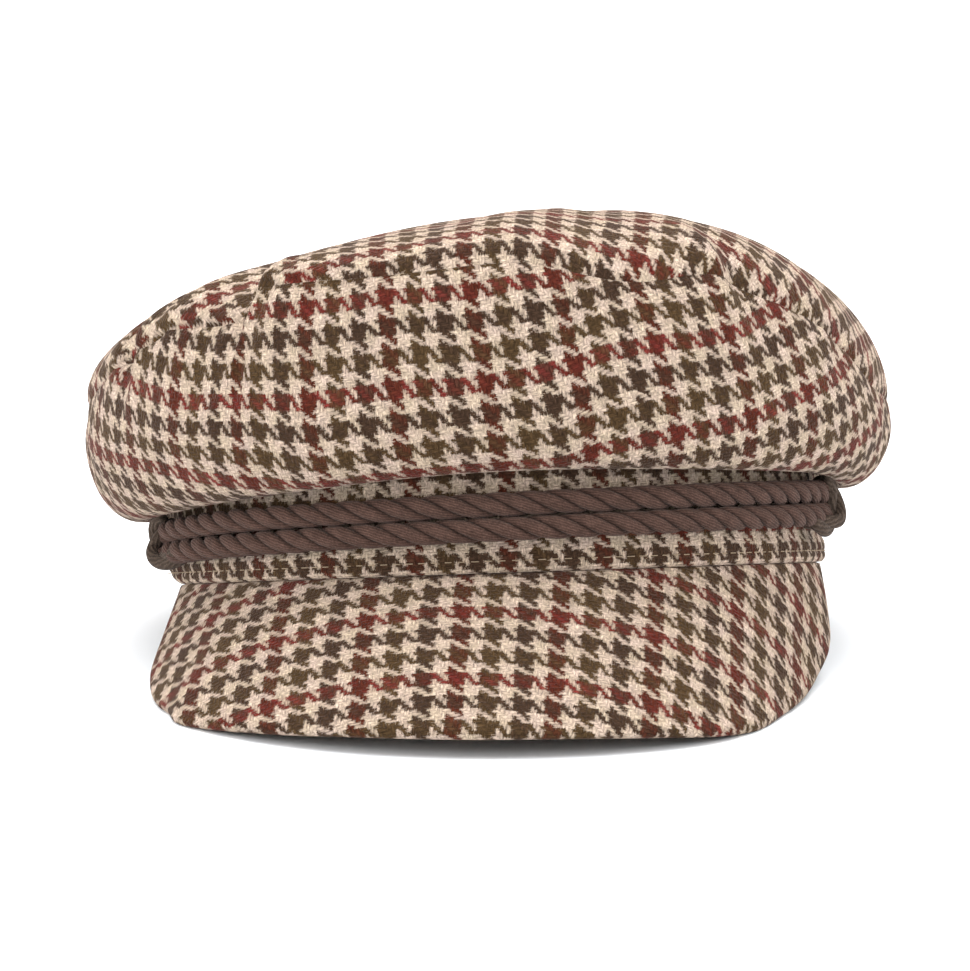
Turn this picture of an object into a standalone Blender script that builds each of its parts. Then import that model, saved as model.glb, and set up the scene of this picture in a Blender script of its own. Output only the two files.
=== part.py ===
"""Sailor cap in checked wool cloth: a domed tip, a soft side that puffs out past a straight band, a steep
cloth-covered peak, and a doubled rope over the front of the band, held at each side by a dark cord.

The cap is drawn upright first: the lower edge of the band lies in the plane up = 0, the front faces -Y, and
angles round the band are degrees that start at the front and grow towards +X. Then it is laid down as it
rests by itself, on its peak and on the back of its band, over the plane Z = 0.
"""

from math import cos, hypot, pi, radians, sin

import bmesh
import bpy
from mathutils import Matrix, Vector

# Head and band, in metres
HEAD_WIDTH = 0.167
HEAD_LENGTH = 0.199
BAND_WALL = 0.0025
BAND_HEIGHT = 0.029
HEM_HEIGHT = 0.0065
HEM_PROUD = 0.0008

# Crown: reach past the band, seam above the band's top in front, top of the dome above that seam
CLOTH = 0.002
CROWN_REACH = 0.0222
SIDE_RISE = 0.0455
DOME_RISE = 0.0190
DOME_RIGHT = 0.018
DOME_FORWARD = 0.016
OVERHANG_CLEAR = 0.005
SEAM_LIP = 0.0015

# Peak
PEAK_LENGTH = 0.055
PEAK_THICK = 0.0032
PEAK_ARCH = 0.0015

# Rope and the cords that hold its ends
ROPE_THICK = 0.0058
ROPE_LAY = 0.023
ROPE_END = 73
LOOP_THICK = 0.0042
LOOP_FOOT = 0.57

# Fits: cut edges and faces that touch, and what the weight flattens
TOUCH_GAP = 0.0003
REST_FLAT = 0.0008

# Fineness of the lofts
ROUND_STEPS = 72
SIDE_STEPS = (2, 3, 3)
TIP_STEPS = 7
PEAK_STEPS = 40
PEAK_ROWS = 4
STRAND_SIDES = 3
LAY_STEPS = 8
FINE_STEPS = 400
LOOP_STEPS = 3
SHARP_EDGE = 50
WELD = 1e-6

# Height of the tip's seam round the crown, as shares of SIDE_RISE over the top of the band
SEAM = (
    ("at", "up"),
    (-180, 0.41),
    (-120, 0.39),
    (-90, 0.41),
    (-72, 0.42),
    (-60, 0.64),
    (-52, 0.79),
    (-37, 0.79),
    (-33, 0.98),
    (-15, 0.98),
    (3, 1.01),
    (22, 0.91),
    (32, 0.95),
    (44, 0.82),
    (56, 0.67),
    (76, 0.33),
    (100, 0.28),
    (140, 0.36),
)

# Crown round the band: seam and bulge are shares of CROWN_REACH, bulge_up a share of the way from the
# overhang to the seam, hang a share of OVERHANG_CLEAR over the rope, or below its top where it droops past
# the rope's end, lean the seam's lean in degrees, shoulder and top the fullness of the dome at its rim and
# at its middle
CROWN = (
    ("at", "seam", "bulge", "bulge_up", "hang", "lean", "shoulder", "top"),
    (-180, 0.70, 0.85, 0.60, 0.25, 8, 0.55, 0.52),
    (-135, 0.82, 0.93, 0.66, 0.20, 6, 0.56, 0.50),
    (-90, 0.97, 1.00, 0.72, 0.05, 2, 0.56, 0.46),
    (-62, 0.90, 0.95, 0.60, 0.15, 6, 0.46, 0.34),
    (-40, 0.76, 0.86, 0.48, 0.45, 12, 0.36, 0.26),
    (0, 0.60, 0.72, 0.42, 1.00, 18, 0.50, 0.48),
    (40, 0.68, 0.80, 0.45, 0.60, 14, 0.58, 0.60),
    (65, 0.78, 0.85, 0.55, 0.25, 8, 0.55, 0.62),
    (90, 0.85, 0.87, 0.68, -0.45, 3, 0.52, 0.60),
    (135, 0.80, 0.87, 0.64, 0.20, 6, 0.55, 0.54),
)

# Dents in the crown's side: each runs down from the seam, up is a share of the way from overhang to seam,
# wide is in degrees and deep a share of CROWN_REACH
DENTS = (
    ("at_seam", "at_foot", "foot_up", "wide", "deep"),
    (-34, -40, 0.35, 6, 0.20),
    (-61, -57, 0.70, 5, 0.12),
    (38, 40, 0.70, 5, 0.08),
)

# Peak: length is a share of PEAK_LENGTH, slope in degrees below the level, flare how far its rulings turn
# from straight ahead to square off the band
PEAK = (
    ("at", "length", "slope", "flare"),
    (-72, 0.04, 60, 0.8),
    (-68, 0.28, 58, 0.8),
    (-62, 0.54, 52, 0.7),
    (-52, 0.765, 45.5, 0.6),
    (-38, 0.88, 44, 1.0),
    (-20, 0.95, 43.7, 1.0),
    (0, 0.985, 44.8, 1.0),
    (22, 0.96, 49, 1.0),
    (33, 0.90, 53.5, 0.8),
    (46, 0.75, 61, 0.6),
    (60, 0.56, 70, 0.6),
    (70, 0.37, 74, 0.9),
    (76, 0.18, 76, 1.0),
    (79, 0.04, 76, 1.0),
)

# Middle of the doubled rope round the band, as shares of BAND_HEIGHT
ROPE = (
    ("at", "up"),
    (-180, 0.44),
    (-86, 0.355),
    (-45, 0.428),
    (0, 0.476),
    (45, 0.510),
    (86, 0.531),
)

# Route of each side loop from under the crown, past the rope's ends and back below the lower rope: turn is
# in degrees past the rope's end, out in cord thicknesses off the band, up a share of the loop's height over
# its foot, which is LOOP_FOOT of the height of the rope's middle
LOOP = (
    ("turn", "out", "up"),
    (3.2, 0.66, 1.00),
    (4.8, 1.00, 0.82),
    (5.6, 1.20, 0.55),
    (5.2, 1.18, 0.28),
    (3.8, 1.00, 0.06),
    (1.9, 0.72, 0.00),
)

HALF_WIDTH = HEAD_WIDTH / 2 + BAND_WALL
HALF_LENGTH = HEAD_LENGTH / 2 + BAND_WALL


def around(at, out, up):
    """A point at an angle round the band, out from its outer face and up from its lower edge."""
    turn = radians(at)
    normal = Vector((HALF_LENGTH * sin(turn), -HALF_WIDTH * cos(turn), 0)).normalized()
    return Vector((HALF_WIDTH * sin(turn), -HALF_LENGTH * cos(turn), up)) + normal * out


def read(table, name, at, full_turn=True):
    """Reads a column of a table at an angle, on a smooth curve through the rows with no overshoot."""
    column = table[0].index(name)
    places = [row[0] for row in table[1:]]
    values = [row[column] for row in table[1:]]
    if full_turn:
        at = (at + 180) % 360 - 180
        places = [places[-1] - 360] + places + [places[0] + 360, places[1] + 360]
        values = [values[-1]] + values + [values[0], values[1]]
    at = min(max(at, places[0]), places[-1])
    slopes = [(v1 - v0) / (p1 - p0) for p0, p1, v0, v1 in zip(places, places[1:], values, values[1:])]
    bends = [slopes[0]]
    for before, after in zip(slopes, slopes[1:]):
        bends.append(2 * before * after / (before + after) if before * after > 0 else 0.0)
    bends.append(slopes[-1])
    k = max(i for i in range(len(places) - 1) if at >= places[i])
    span = places[k + 1] - places[k]
    t = (at - places[k]) / span
    rise = values[k + 1] - values[k]
    start = bends[k] * span
    end = bends[k + 1] * span
    return values[k] + t * (start + t * (3 * rise - 2 * start - end + t * (start + end - 2 * rise)))


def bezier(start, pull_start, pull_end, end, steps):
    """Points on a cubic curve, without its last one."""
    points = []
    for i in range(steps):
        t = i / steps
        s = 1 - t
        points.append(start * s**3 + pull_start * 3 * s * s * t + pull_end * 3 * s * t * t + end * t**3)
    return points


def rope_middle(at):
    """Height of the middle of the doubled rope."""
    return read(ROPE, "up", at) * BAND_HEIGHT


def overhang_level(at):
    """Lowest level of the crown where it hangs over the band, clear of the rope."""
    return rope_middle(at) + ROPE_THICK + TOUCH_GAP + read(CROWN, "hang", at) * OVERHANG_CLEAR


def seam_point(at):
    """The tip's seam at an angle, as out and up, and the direction in which both cloths run there."""
    lean = radians(read(CROWN, "lean", at))
    point = Vector((read(CROWN, "seam", at) * CROWN_REACH, BAND_HEIGHT + read(SEAM, "up", at) * SIDE_RISE))
    return point, Vector((-sin(lean), cos(lean)))


def dent(at, share):
    """How deep the crown's side is dented at an angle, share of the way from overhang to seam."""
    depth = 0.0
    for at_seam, at_foot, foot_up, wide, deep in DENTS[1:]:
        along = min(max((share - foot_up) / (1 - foot_up), 0), 1)
        off = (at - at_foot - (at_seam - at_foot) * along) / wide
        if abs(off) < 1:
            depth += deep * CROWN_REACH * along * (1 + cos(pi * off)) / 2
    return depth


def side_profile(at):
    """The crown's side at an angle, from its sewn edge on the band up to the tip's seam."""
    seam, run = seam_point(at)
    low = overhang_level(at)
    reach = read(CROWN, "bulge", at) * CROWN_REACH
    tall = seam.y - low
    sewn = Vector((0, BAND_HEIGHT + TOUCH_GAP))
    foot = Vector((reach / 3, low))
    bulge = Vector((reach, low + read(CROWN, "bulge_up", at) * tall))
    lip = seam - run * SEAM_LIP
    drop = sewn.y - foot.y
    upper = lip.y - bulge.y
    first, second, third = SIDE_STEPS
    points = [Vector((-BAND_WALL, sewn.y))]
    points += bezier(sewn, sewn + Vector((reach / 7, -drop / 3)), foot - Vector((reach / 6, 0)), foot, first)
    points += bezier(foot, foot + Vector((reach * 0.42, 0)), bulge - Vector((0, tall * 0.25)), bulge, second)
    points += bezier(bulge, bulge + Vector((0, upper * 0.45)), lip - run * upper * 0.35, lip, third)
    points += [lip, seam]
    profile = []
    for point in points:
        share = min(max((point.y - low) / tall, 0), 1)
        profile.append(around(at, point.x - dent(at, share) * (point.x > 0), point.y))
    return profile


def tip_profile(at):
    """The tip at an angle, from just above its seam up to the top of the dome."""
    seam, run = seam_point(at)
    seam.x -= dent(at, 1)
    top = Vector((DOME_RIGHT, -DOME_FORWARD, BAND_HEIGHT + SIDE_RISE + DOME_RISE))
    edge = [around(at, *(seam + run * length)) for length in (TOUCH_GAP, TOUCH_GAP + SEAM_LIP)]
    run_on = (edge[1] - edge[0]).normalized()
    rise = top.z - edge[1].z
    level = Vector((edge[1].x, edge[1].y, top.z)) - top
    pull_rim = edge[1] + run_on * rise * read(CROWN, "shoulder", at)
    pull_top = top + level * read(CROWN, "top", at)
    return edge[:1] + bezier(edge[1], pull_rim, pull_top, top, TIP_STEPS) + [top]


def peak_ruling(at):
    """The sewn point of the peak at an angle, and the straight line that it runs out along."""
    slope = radians(read(PEAK, "slope", at, False))
    square = around(at, 1, 0) - around(at, 0, 0)
    ahead = Vector((0, -1, 0))
    level = ahead.lerp(square, read(PEAK, "flare", at, False)).normalized()
    line = level * cos(slope) - Vector((0, 0, sin(slope)))
    return around(at, 0, -TOUCH_GAP), line * read(PEAK, "length", at, False) * PEAK_LENGTH


def peak_profile(at):
    """The peak's upper face at an angle, from its outer edge back to its edge under the band."""
    root, line = peak_ruling(at)
    length = line.length
    level = Vector((line.x, line.y, 0)).normalized()
    proud = (level * -line.z + Vector((0, 0, hypot(line.x, line.y)))) / length
    points = []
    for i in range(PEAK_ROWS, 0, -1):
        share = i / PEAK_ROWS
        arch = 4 * share * (1 - share) * PEAK_ARCH * length / PEAK_LENGTH
        points.append(root + line * share + proud * arch)
    return points + [root, around(at, -BAND_WALL, -TOUCH_GAP)]


def band_profile(at):
    """The band's outer face at an angle, with its turned hem."""
    rows = ((HEM_PROUD, 0), (HEM_PROUD, HEM_HEIGHT / 4), (0, HEM_HEIGHT), (0, BAND_HEIGHT))
    return [around(at, out, up) for out, up in rows]


def rope_point(at, side):
    """Centre of the upper (side 1) or lower (side -1) pass of the rope."""
    return around(at, ROPE_THICK / 2 + TOUCH_GAP, rope_middle(at) + side * (ROPE_THICK + TOUCH_GAP) / 2)


def rope_sections(side):
    """Three-lobed sections of a rope pass, each turned a little further than the one before."""
    fine = [rope_point(ROPE_END * (2 * i / FINE_STEPS - 1), side) for i in range(FINE_STEPS + 1)]
    lengths = [0.0]
    for before, after in zip(fine, fine[1:]):
        lengths.append(lengths[-1] + (after - before).length)
    count = round(lengths[-1] / ROPE_LAY * LAY_STEPS)
    strand = ROPE_THICK / 2 / (1 + 2 / 3**0.5)
    centre = ROPE_THICK / 2 - strand
    sections = []
    for i in range(count + 1):
        distance = lengths[-1] * i / count
        k = max(j for j, length in enumerate(lengths[:-1]) if length <= distance)
        along = (fine[k + 1] - fine[k]).normalized()
        middle = fine[k].lerp(fine[k + 1], (distance - lengths[k]) / (lengths[k + 1] - lengths[k]))
        across = along.cross(Vector((0, 0, 1))).normalized()
        up = across.cross(along)
        ring = []
        for lobe in range(3):
            facing = 2 * pi * (lobe / 3 - distance / ROPE_LAY)
            for j in range(STRAND_SIDES):
                turn = facing + radians(120) * ((j + 0.5) / STRAND_SIDES - 0.5)
                swing = turn - facing
                radius = centre * cos(swing) + (strand**2 - (centre * sin(swing)) ** 2) ** 0.5
                ring.append(middle + (across * cos(turn) + up * sin(turn)) * radius)
        sections.append(ring)
    return sections


def loop_route(side):
    """Points of the cord that holds the rope's ends, at the viewer's left (side -1) or right (side 1)."""
    lowest = min(overhang_level(side * (ROPE_END + row[0])) for row in LOOP[1:])
    top = lowest - LOOP_THICK / 2 - TOUCH_GAP
    foot = rope_middle(side * ROPE_END) * LOOP_FOOT
    points = []
    for turn, out, up in LOOP[1:]:
        at = side * (ROPE_END + turn)
        off = out * LOOP_THICK + HEM_PROUD * max(0, 1 - up * 4)
        points.append(around(at, off, foot + (top - foot) * up))
    return points


def smooth_route(points, steps):
    """Reads a smooth curve through a route's points."""
    ends = [points[0] * 2 - points[1]] + points + [points[-1] * 2 - points[-2]]
    route = []
    for p0, p1, p2, p3 in zip(ends, ends[1:], ends[2:], ends[3:]):
        route += bezier(p1, p1 + (p2 - p0) / 6, p2 - (p3 - p1) / 6, p2, steps)
    return route + [points[-1]]


def wool(name, colour, roughness):
    """A plain cloth or cord finish."""
    material = bpy.data.materials.new(name)
    material.use_nodes = True
    shader = material.node_tree.nodes["Principled BSDF"]
    shader.inputs["Base Color"].default_value = (*colour, 1)
    shader.inputs["Roughness"].default_value = roughness
    shader.inputs["Metallic"].default_value = 0
    return material


def add_object(name, data, collection, material, rest):
    """Puts a piece in its collection, under the empty that lays the cap down."""
    piece = bpy.data.objects.new(name, data)
    collection.objects.link(piece)
    piece.parent = rest
    data.materials.append(material)
    return piece


def loft(sections, closed, capped=False):
    """A surface through sections, each a list of points; closed joins the last section to the first."""
    mesh = bpy.data.meshes.new("loft")
    work = bmesh.new()
    rows = [[work.verts.new(point) for point in section] for section in sections]
    pairs = list(zip(rows, rows[1:]))
    if closed:
        pairs.append((rows[-1], rows[0]))
    for here, there in pairs:
        for j in range(len(here) - 1):
            work.faces.new((here[j], there[j], there[j + 1], here[j + 1]))
        if capped:
            work.faces.new((here[-1], there[-1], there[0], here[0]))
    if capped:
        work.faces.new(rows[0])
        work.faces.new(rows[-1][::-1])
    bmesh.ops.remove_doubles(work, verts=work.verts, dist=WELD)
    work.to_mesh(mesh)
    work.free()
    mesh.shade_smooth()
    mesh.set_sharp_from_angle(angle=radians(SHARP_EDGE))
    return mesh


def add_wall(piece, thickness):
    """Gives an open surface its cloth, grown inwards from its outer face."""
    wall = piece.modifiers.new("wall", "SOLIDIFY")
    wall.thickness = thickness
    wall.offset = -1
    wall.use_even_offset = True
    wall.use_quality_normals = True


def build_crown(collection, rest):
    """The soft side of the crown and the domed tip sewn to it."""
    cloth = wool("checked_wool_crown", (0.36, 0.27, 0.20), 0.95)
    angles = [360 * i / ROUND_STEPS for i in range(ROUND_STEPS)]
    side = add_object("crown_side", loft([side_profile(at) for at in angles], True), collection, cloth, rest)
    add_wall(side, CLOTH)
    cloth = wool("checked_wool_tip", (0.38, 0.29, 0.22), 0.95)
    tip = add_object("crown_tip", loft([tip_profile(at) for at in angles], True), collection, cloth, rest)
    add_wall(tip, CLOTH)


def build_band(collection, rest):
    """The straight headband with its hem."""
    cloth = wool("checked_wool_band", (0.34, 0.25, 0.19), 0.95)
    angles = [360 * i / ROUND_STEPS for i in range(ROUND_STEPS)]
    band = add_object("band", loft([band_profile(at) for at in angles], True), collection, cloth, rest)
    add_wall(band, BAND_WALL)
    return band


def build_peak(collection, rest):
    """The cloth-covered peak under the front of the band."""
    cloth = wool("checked_wool_peak", (0.35, 0.26, 0.19), 0.95)
    first = PEAK[1][0]
    last = PEAK[-1][0]
    angles = [first + (last - first) * i / PEAK_STEPS for i in range(PEAK_STEPS + 1)]
    peak = add_object("peak", loft([peak_profile(at) for at in angles], False), collection, cloth, rest)
    add_wall(peak, PEAK_THICK)
    return peak


def build_rope(collection, rest):
    """The two passes of the twisted rope."""
    yarn = wool("rope_yarn", (0.155, 0.10, 0.085), 0.9)
    for name, side in (("rope_upper", 1), ("rope_lower", -1)):
        add_object(name, loft(rope_sections(side), False, True), collection, yarn, rest)


def build_side_loops(collection, rest):
    """The dark cord round the rope's ends at each side."""
    for name, side in (("side_loop_left", -1), ("side_loop_right", 1)):
        curve = bpy.data.curves.new(name, "CURVE")
        curve.dimensions = "3D"
        curve.bevel_depth = LOOP_THICK / 2
        curve.bevel_resolution = 2
        curve.use_fill_caps = True
        route = smooth_route(loop_route(side), LOOP_STEPS)
        spline = curve.splines.new("POLY")
        spline.points.add(len(route) - 1)
        for point, place in zip(spline.points, route):
            point.co = (*place, 1)
        add_object(name, curve, collection, wool(name + "_yarn", (0.045, 0.033, 0.026), 0.9), rest)


def low_points():
    """Points of the peak's lower rim, left and right, and of the band's lower edge at the back."""
    rim = []
    for i in range(PEAK_STEPS + 1):
        at = PEAK[1][0] + (PEAK[-1][0] - PEAK[1][0]) * i / PEAK_STEPS
        root, line = peak_ruling(at)
        level = Vector((line.x, line.y, 0)).normalized()
        under = (level * line.z - Vector((0, 0, hypot(line.x, line.y)))) / line.length
        rim.append(root + line + under * PEAK_THICK)
    back = [around(at, out, 0) for at in range(120, 241, 4) for out in (HEM_PROUD, -BAND_WALL)]
    return [p for p in rim if p.x < 0], [p for p in rim if p.x > 0], back


def lay_down():
    """Turn that brings the two low points of the peak and the band's back onto one level."""
    turn = Matrix.Identity(3)
    groups = low_points()
    for _ in range(8):
        left, right, back = (min(group, key=lambda p: (turn @ p).z) for group in groups)
        normal = (right - left).cross(back - left).normalized()
        turn = normal.rotation_difference(Vector((0, 0, 1))).to_matrix()
    lowest = min((turn @ p).z for group in groups for p in group)
    return Matrix.Translation((0, 0, -lowest - REST_FLAT)) @ turn.to_4x4()


def centre_over_origin(pieces, rest):
    """Moves the laid cap so that the middle of its box stands over the origin."""
    bpy.context.view_layer.update()
    graph = bpy.context.evaluated_depsgraph_get()
    corners = []
    for piece in pieces:
        seen = piece.evaluated_get(graph)
        corners += [seen.matrix_world @ vertex.co for vertex in seen.to_mesh().vertices]
        seen.to_mesh_clear()
    middle = [(min(c[k] for c in corners) + max(c[k] for c in corners)) / 2 for k in (0, 1)]
    rest.matrix_world = Matrix.Translation((-middle[0], -middle[1], 0)) @ rest.matrix_world


def flatten(pieces, cutters):
    """Cuts off what would reach below the surface that the cap rests on."""
    size = 2 * (HEAD_LENGTH + PEAK_LENGTH)
    bpy.ops.mesh.primitive_cube_add(size=1, location=(0, 0, -size / 2))
    block = bpy.context.object
    block.name = "surface_below"
    block.scale = (size, size, size)
    for owner in block.users_collection:
        owner.objects.unlink(block)
    cutters.objects.link(block)
    block.hide_render = True
    block.display_type = "WIRE"
    for piece in pieces:
        cut = piece.modifiers.new("flat", "BOOLEAN")
        cut.operation = "DIFFERENCE"
        cut.object = block


def main():
    """Builds the cap and lays it down."""
    for old in list(bpy.data.objects):
        bpy.data.objects.remove(old, do_unlink=True)
    collection = bpy.data.collections.new("sailor_cap")
    cutters = bpy.data.collections.new("cutters")
    for made in (collection, cutters):
        bpy.context.scene.collection.children.link(made)
    rest = bpy.data.objects.new("laid_down", None)
    collection.objects.link(rest)
    rest.matrix_world = lay_down()
    build_crown(collection, rest)
    band = build_band(collection, rest)
    peak = build_peak(collection, rest)
    build_rope(collection, rest)
    build_side_loops(collection, rest)
    centre_over_origin([piece for piece in collection.objects if piece.type != "EMPTY"], rest)
    flatten((band, peak), cutters)


main()
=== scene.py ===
"""Sailor cap in houndstooth wool: cloth, rope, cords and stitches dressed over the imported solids.

The cap is drawn upright first, as its maker would lay it out. The band's lower edge lies in the plane
up = 0, the front faces -Y, and angles round the band are degrees that start at the front and grow to the
viewer's right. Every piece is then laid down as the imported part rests, on its peak and on the back of its
band.
"""

import logging
import math
from dataclasses import dataclass
from enum import Enum

import bmesh
import bpy
import numpy as np
from mathutils import Matrix, Vector

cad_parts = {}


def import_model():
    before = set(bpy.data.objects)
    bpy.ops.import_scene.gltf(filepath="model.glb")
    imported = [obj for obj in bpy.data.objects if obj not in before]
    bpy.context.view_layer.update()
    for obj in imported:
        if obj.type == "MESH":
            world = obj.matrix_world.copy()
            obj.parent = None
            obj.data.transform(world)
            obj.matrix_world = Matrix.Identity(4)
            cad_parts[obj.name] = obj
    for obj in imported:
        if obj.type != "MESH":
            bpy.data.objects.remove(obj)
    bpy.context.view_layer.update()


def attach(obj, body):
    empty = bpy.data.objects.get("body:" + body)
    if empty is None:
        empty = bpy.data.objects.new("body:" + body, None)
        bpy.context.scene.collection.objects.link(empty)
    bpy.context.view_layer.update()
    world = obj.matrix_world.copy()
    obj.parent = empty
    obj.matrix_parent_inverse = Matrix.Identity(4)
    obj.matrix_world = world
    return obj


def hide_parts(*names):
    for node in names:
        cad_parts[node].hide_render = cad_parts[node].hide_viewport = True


MM = 0.001
FULL = 2 * math.pi
CLOTH_MAP = "cloth"
# How far the cloth of the crown is turned in at the tip's seam, in millimetres.
TURNED_IN = (0.2, 1.4, 3.6)
# How thick a cord is at its very end, as a share of its full thickness.
CORD_TIP = 0.02
Pair = tuple[float, float]
Colour = tuple[float, float, float]
ArrayPair = tuple[np.ndarray, np.ndarray]
Socket = bpy.types.NodeSocket
Value = float | Colour | Socket


class Hand(Enum):
    """The viewer's left or right side of the cap."""

    LEFT = -1
    RIGHT = 1


class Pass(Enum):
    """One of the rope's two passes over the band."""

    UPPER = 1
    LOWER = -1


class Finish(Enum):
    """The record's material slots."""

    WOOL = "checked_wool"
    ROPE = "rope_yarn"
    CORD = "dark_yarn"


@dataclass(frozen=True)
class Table:
    """Values at places round the cap, read on smooth curves that never overshoot their rows."""

    names: tuple[str, ...]
    rows: tuple[tuple[float, ...], ...]
    full_turn: bool = True

    def read(self, name: str, at: np.ndarray) -> np.ndarray:
        """Reads one column.

        Args:
            name: The column's name.
            at: Angles in degrees.

        Returns:
            The column's value at each angle.
        """
        column = self.names.index(name)
        places = np.array([line[0] for line in self.rows], float)
        values = np.array([line[column] for line in self.rows], float)
        if self.full_turn:
            at = (at + 180) % 360 - 180
            places = np.r_[places[-1] - 360, places, places[0] + 360, places[1] + 360]
            values = np.r_[values[-1], values, values[0], values[1]]
        at = np.clip(at, places[0], places[-1])
        slopes = np.diff(values) / np.diff(places)
        before, after = slopes[:-1], slopes[1:]
        alike = before * after > 0
        bends = np.where(alike, 2 * before * after / np.where(alike, before + after, 1), 0)
        bends = np.r_[slopes[0], bends, slopes[-1]]
        row = np.clip(np.searchsorted(places, at, side="right") - 1, 0, len(places) - 2)
        span = places[row + 1] - places[row]
        share = (at - places[row]) / span
        rise = values[row + 1] - values[row]
        start, end = bends[row] * span, bends[row + 1] * span
        bend = 3 * rise - 2 * start - end
        return values[row] + share * (start + share * (bend + share * (start + end - 2 * rise)))


def bezier(start: np.ndarray, pull: np.ndarray, push: np.ndarray, end: np.ndarray, steps: int) -> np.ndarray:
    """Draws cubic curves without their last point.

    Args:
        start: First points, one for each curve.
        pull: Handles of the first points.
        push: Handles of the last points.
        end: Last points.
        steps: Points wanted on each curve.

    Returns:
        An array of curve, point and coordinate.
    """
    share = (np.arange(steps) / steps)[None, :, None]
    rest = 1 - share
    start, pull, push, end = (spot[:, None, :] for spot in (start, pull, push, end))
    pulled, pushed = pull * 3 * rest * rest * share, push * 3 * rest * share * share
    return start * rest**3 + pulled + pushed + end * share**3


def unit(vectors: np.ndarray) -> np.ndarray:
    """Vectors brought to length one."""
    return vectors / np.maximum(np.linalg.norm(vectors, axis=-1, keepdims=True), 1e-12)


def run_length(points: np.ndarray, axis: int) -> np.ndarray:
    """Measures the length walked along one direction of a grid of points.

    Args:
        points: The grid.
        axis: The direction, 0 for its rows and 1 for its columns.

    Returns:
        The length at each point, from 0 at the first one.
    """
    walked = np.cumsum(np.linalg.norm(np.diff(points, axis=axis), axis=-1), axis=axis)
    return np.concatenate([np.zeros_like(np.take(walked, [0], axis)), walked], axis)


def ways_out(points: np.ndarray) -> np.ndarray:
    """Finds the way out of a net that runs all round.

    Args:
        points: The net, its first column once more at the end.

    Returns:
        A vector at each point.
    """
    ring = points[:-1]
    across = np.roll(ring, -1, 0) - np.roll(ring, 1, 0)
    way = unit(np.cross(across, np.gradient(ring, axis=1)))
    return np.concatenate([way, way[:1]])


def cells(wide: int, tall: int) -> ArrayPair:
    """The column and the row of every cell of a grid."""
    column, row = np.meshgrid(np.arange(wide), np.arange(tall), indexing="ij")
    return column.ravel(), row.ravel()


@dataclass(frozen=True)
class Fold:
    """A crease or a soft ridge across the crown: positive depth goes in, negative stands out.

    Its ends are angles and levels, which run from 0 at the overhang to 1 at the tip's seam and on to 2 at
    the top of the dome. Its width and depth are in millimetres.
    """

    start: Pair
    end: Pair
    wide: float
    deep: float
    mm_per_degree: float = 1.75
    mm_per_level: float = 42.0
    blunt_end: float = 0.12

    def depth(self, at: np.ndarray, level: np.ndarray) -> np.ndarray:
        """Reads how far the fold moves the cloth in.

        Args:
            at: Angles in degrees.
            level: Levels on the crown.

        Returns:
            Depths in metres.
        """
        across, rise = self.mm_per_degree, self.mm_per_level
        start_x, start_y = self.start[0] * across, self.start[1] * rise
        run_x, run_y = self.end[0] * across - start_x, self.end[1] * rise - start_y
        turn = (at - self.start[0] + 180) % 360 - 180 + self.start[0]
        x, y = turn * across - start_x, level * rise - start_y
        along = np.clip((x * run_x + y * run_y) / max(run_x**2 + run_y**2, 1e-6), 0, 1)
        off = np.hypot(x - along * run_x, y - along * run_y)
        ends = np.sin(np.pi * np.clip(along, self.blunt_end, 1 - self.blunt_end)) ** 0.5
        return self.deep * MM * ends * np.exp(-((off / self.wide) ** 2))


@dataclass(frozen=True)
class Dent:
    """A broad hollow in the crown's side, deepest at the tip's seam, as shares of the crown's reach."""

    at_seam: float
    at_foot: float
    foot_level: float
    wide: float
    deep: float

    def depth(self, at: np.ndarray, level: np.ndarray) -> np.ndarray:
        """Reads how deep the hollow is.

        Args:
            at: Angles in degrees.
            level: Levels on the crown's side.

        Returns:
            Shares of the crown's reach.
        """
        along = np.clip((level - self.foot_level) / (1 - self.foot_level), 0, 1)
        middle = self.at_foot + (self.at_seam - self.at_foot) * along
        off = np.clip(np.abs(at - middle) / self.wide, 0, 1)
        return self.deep * along * (1 + np.cos(np.pi * off)) / 2


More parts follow.
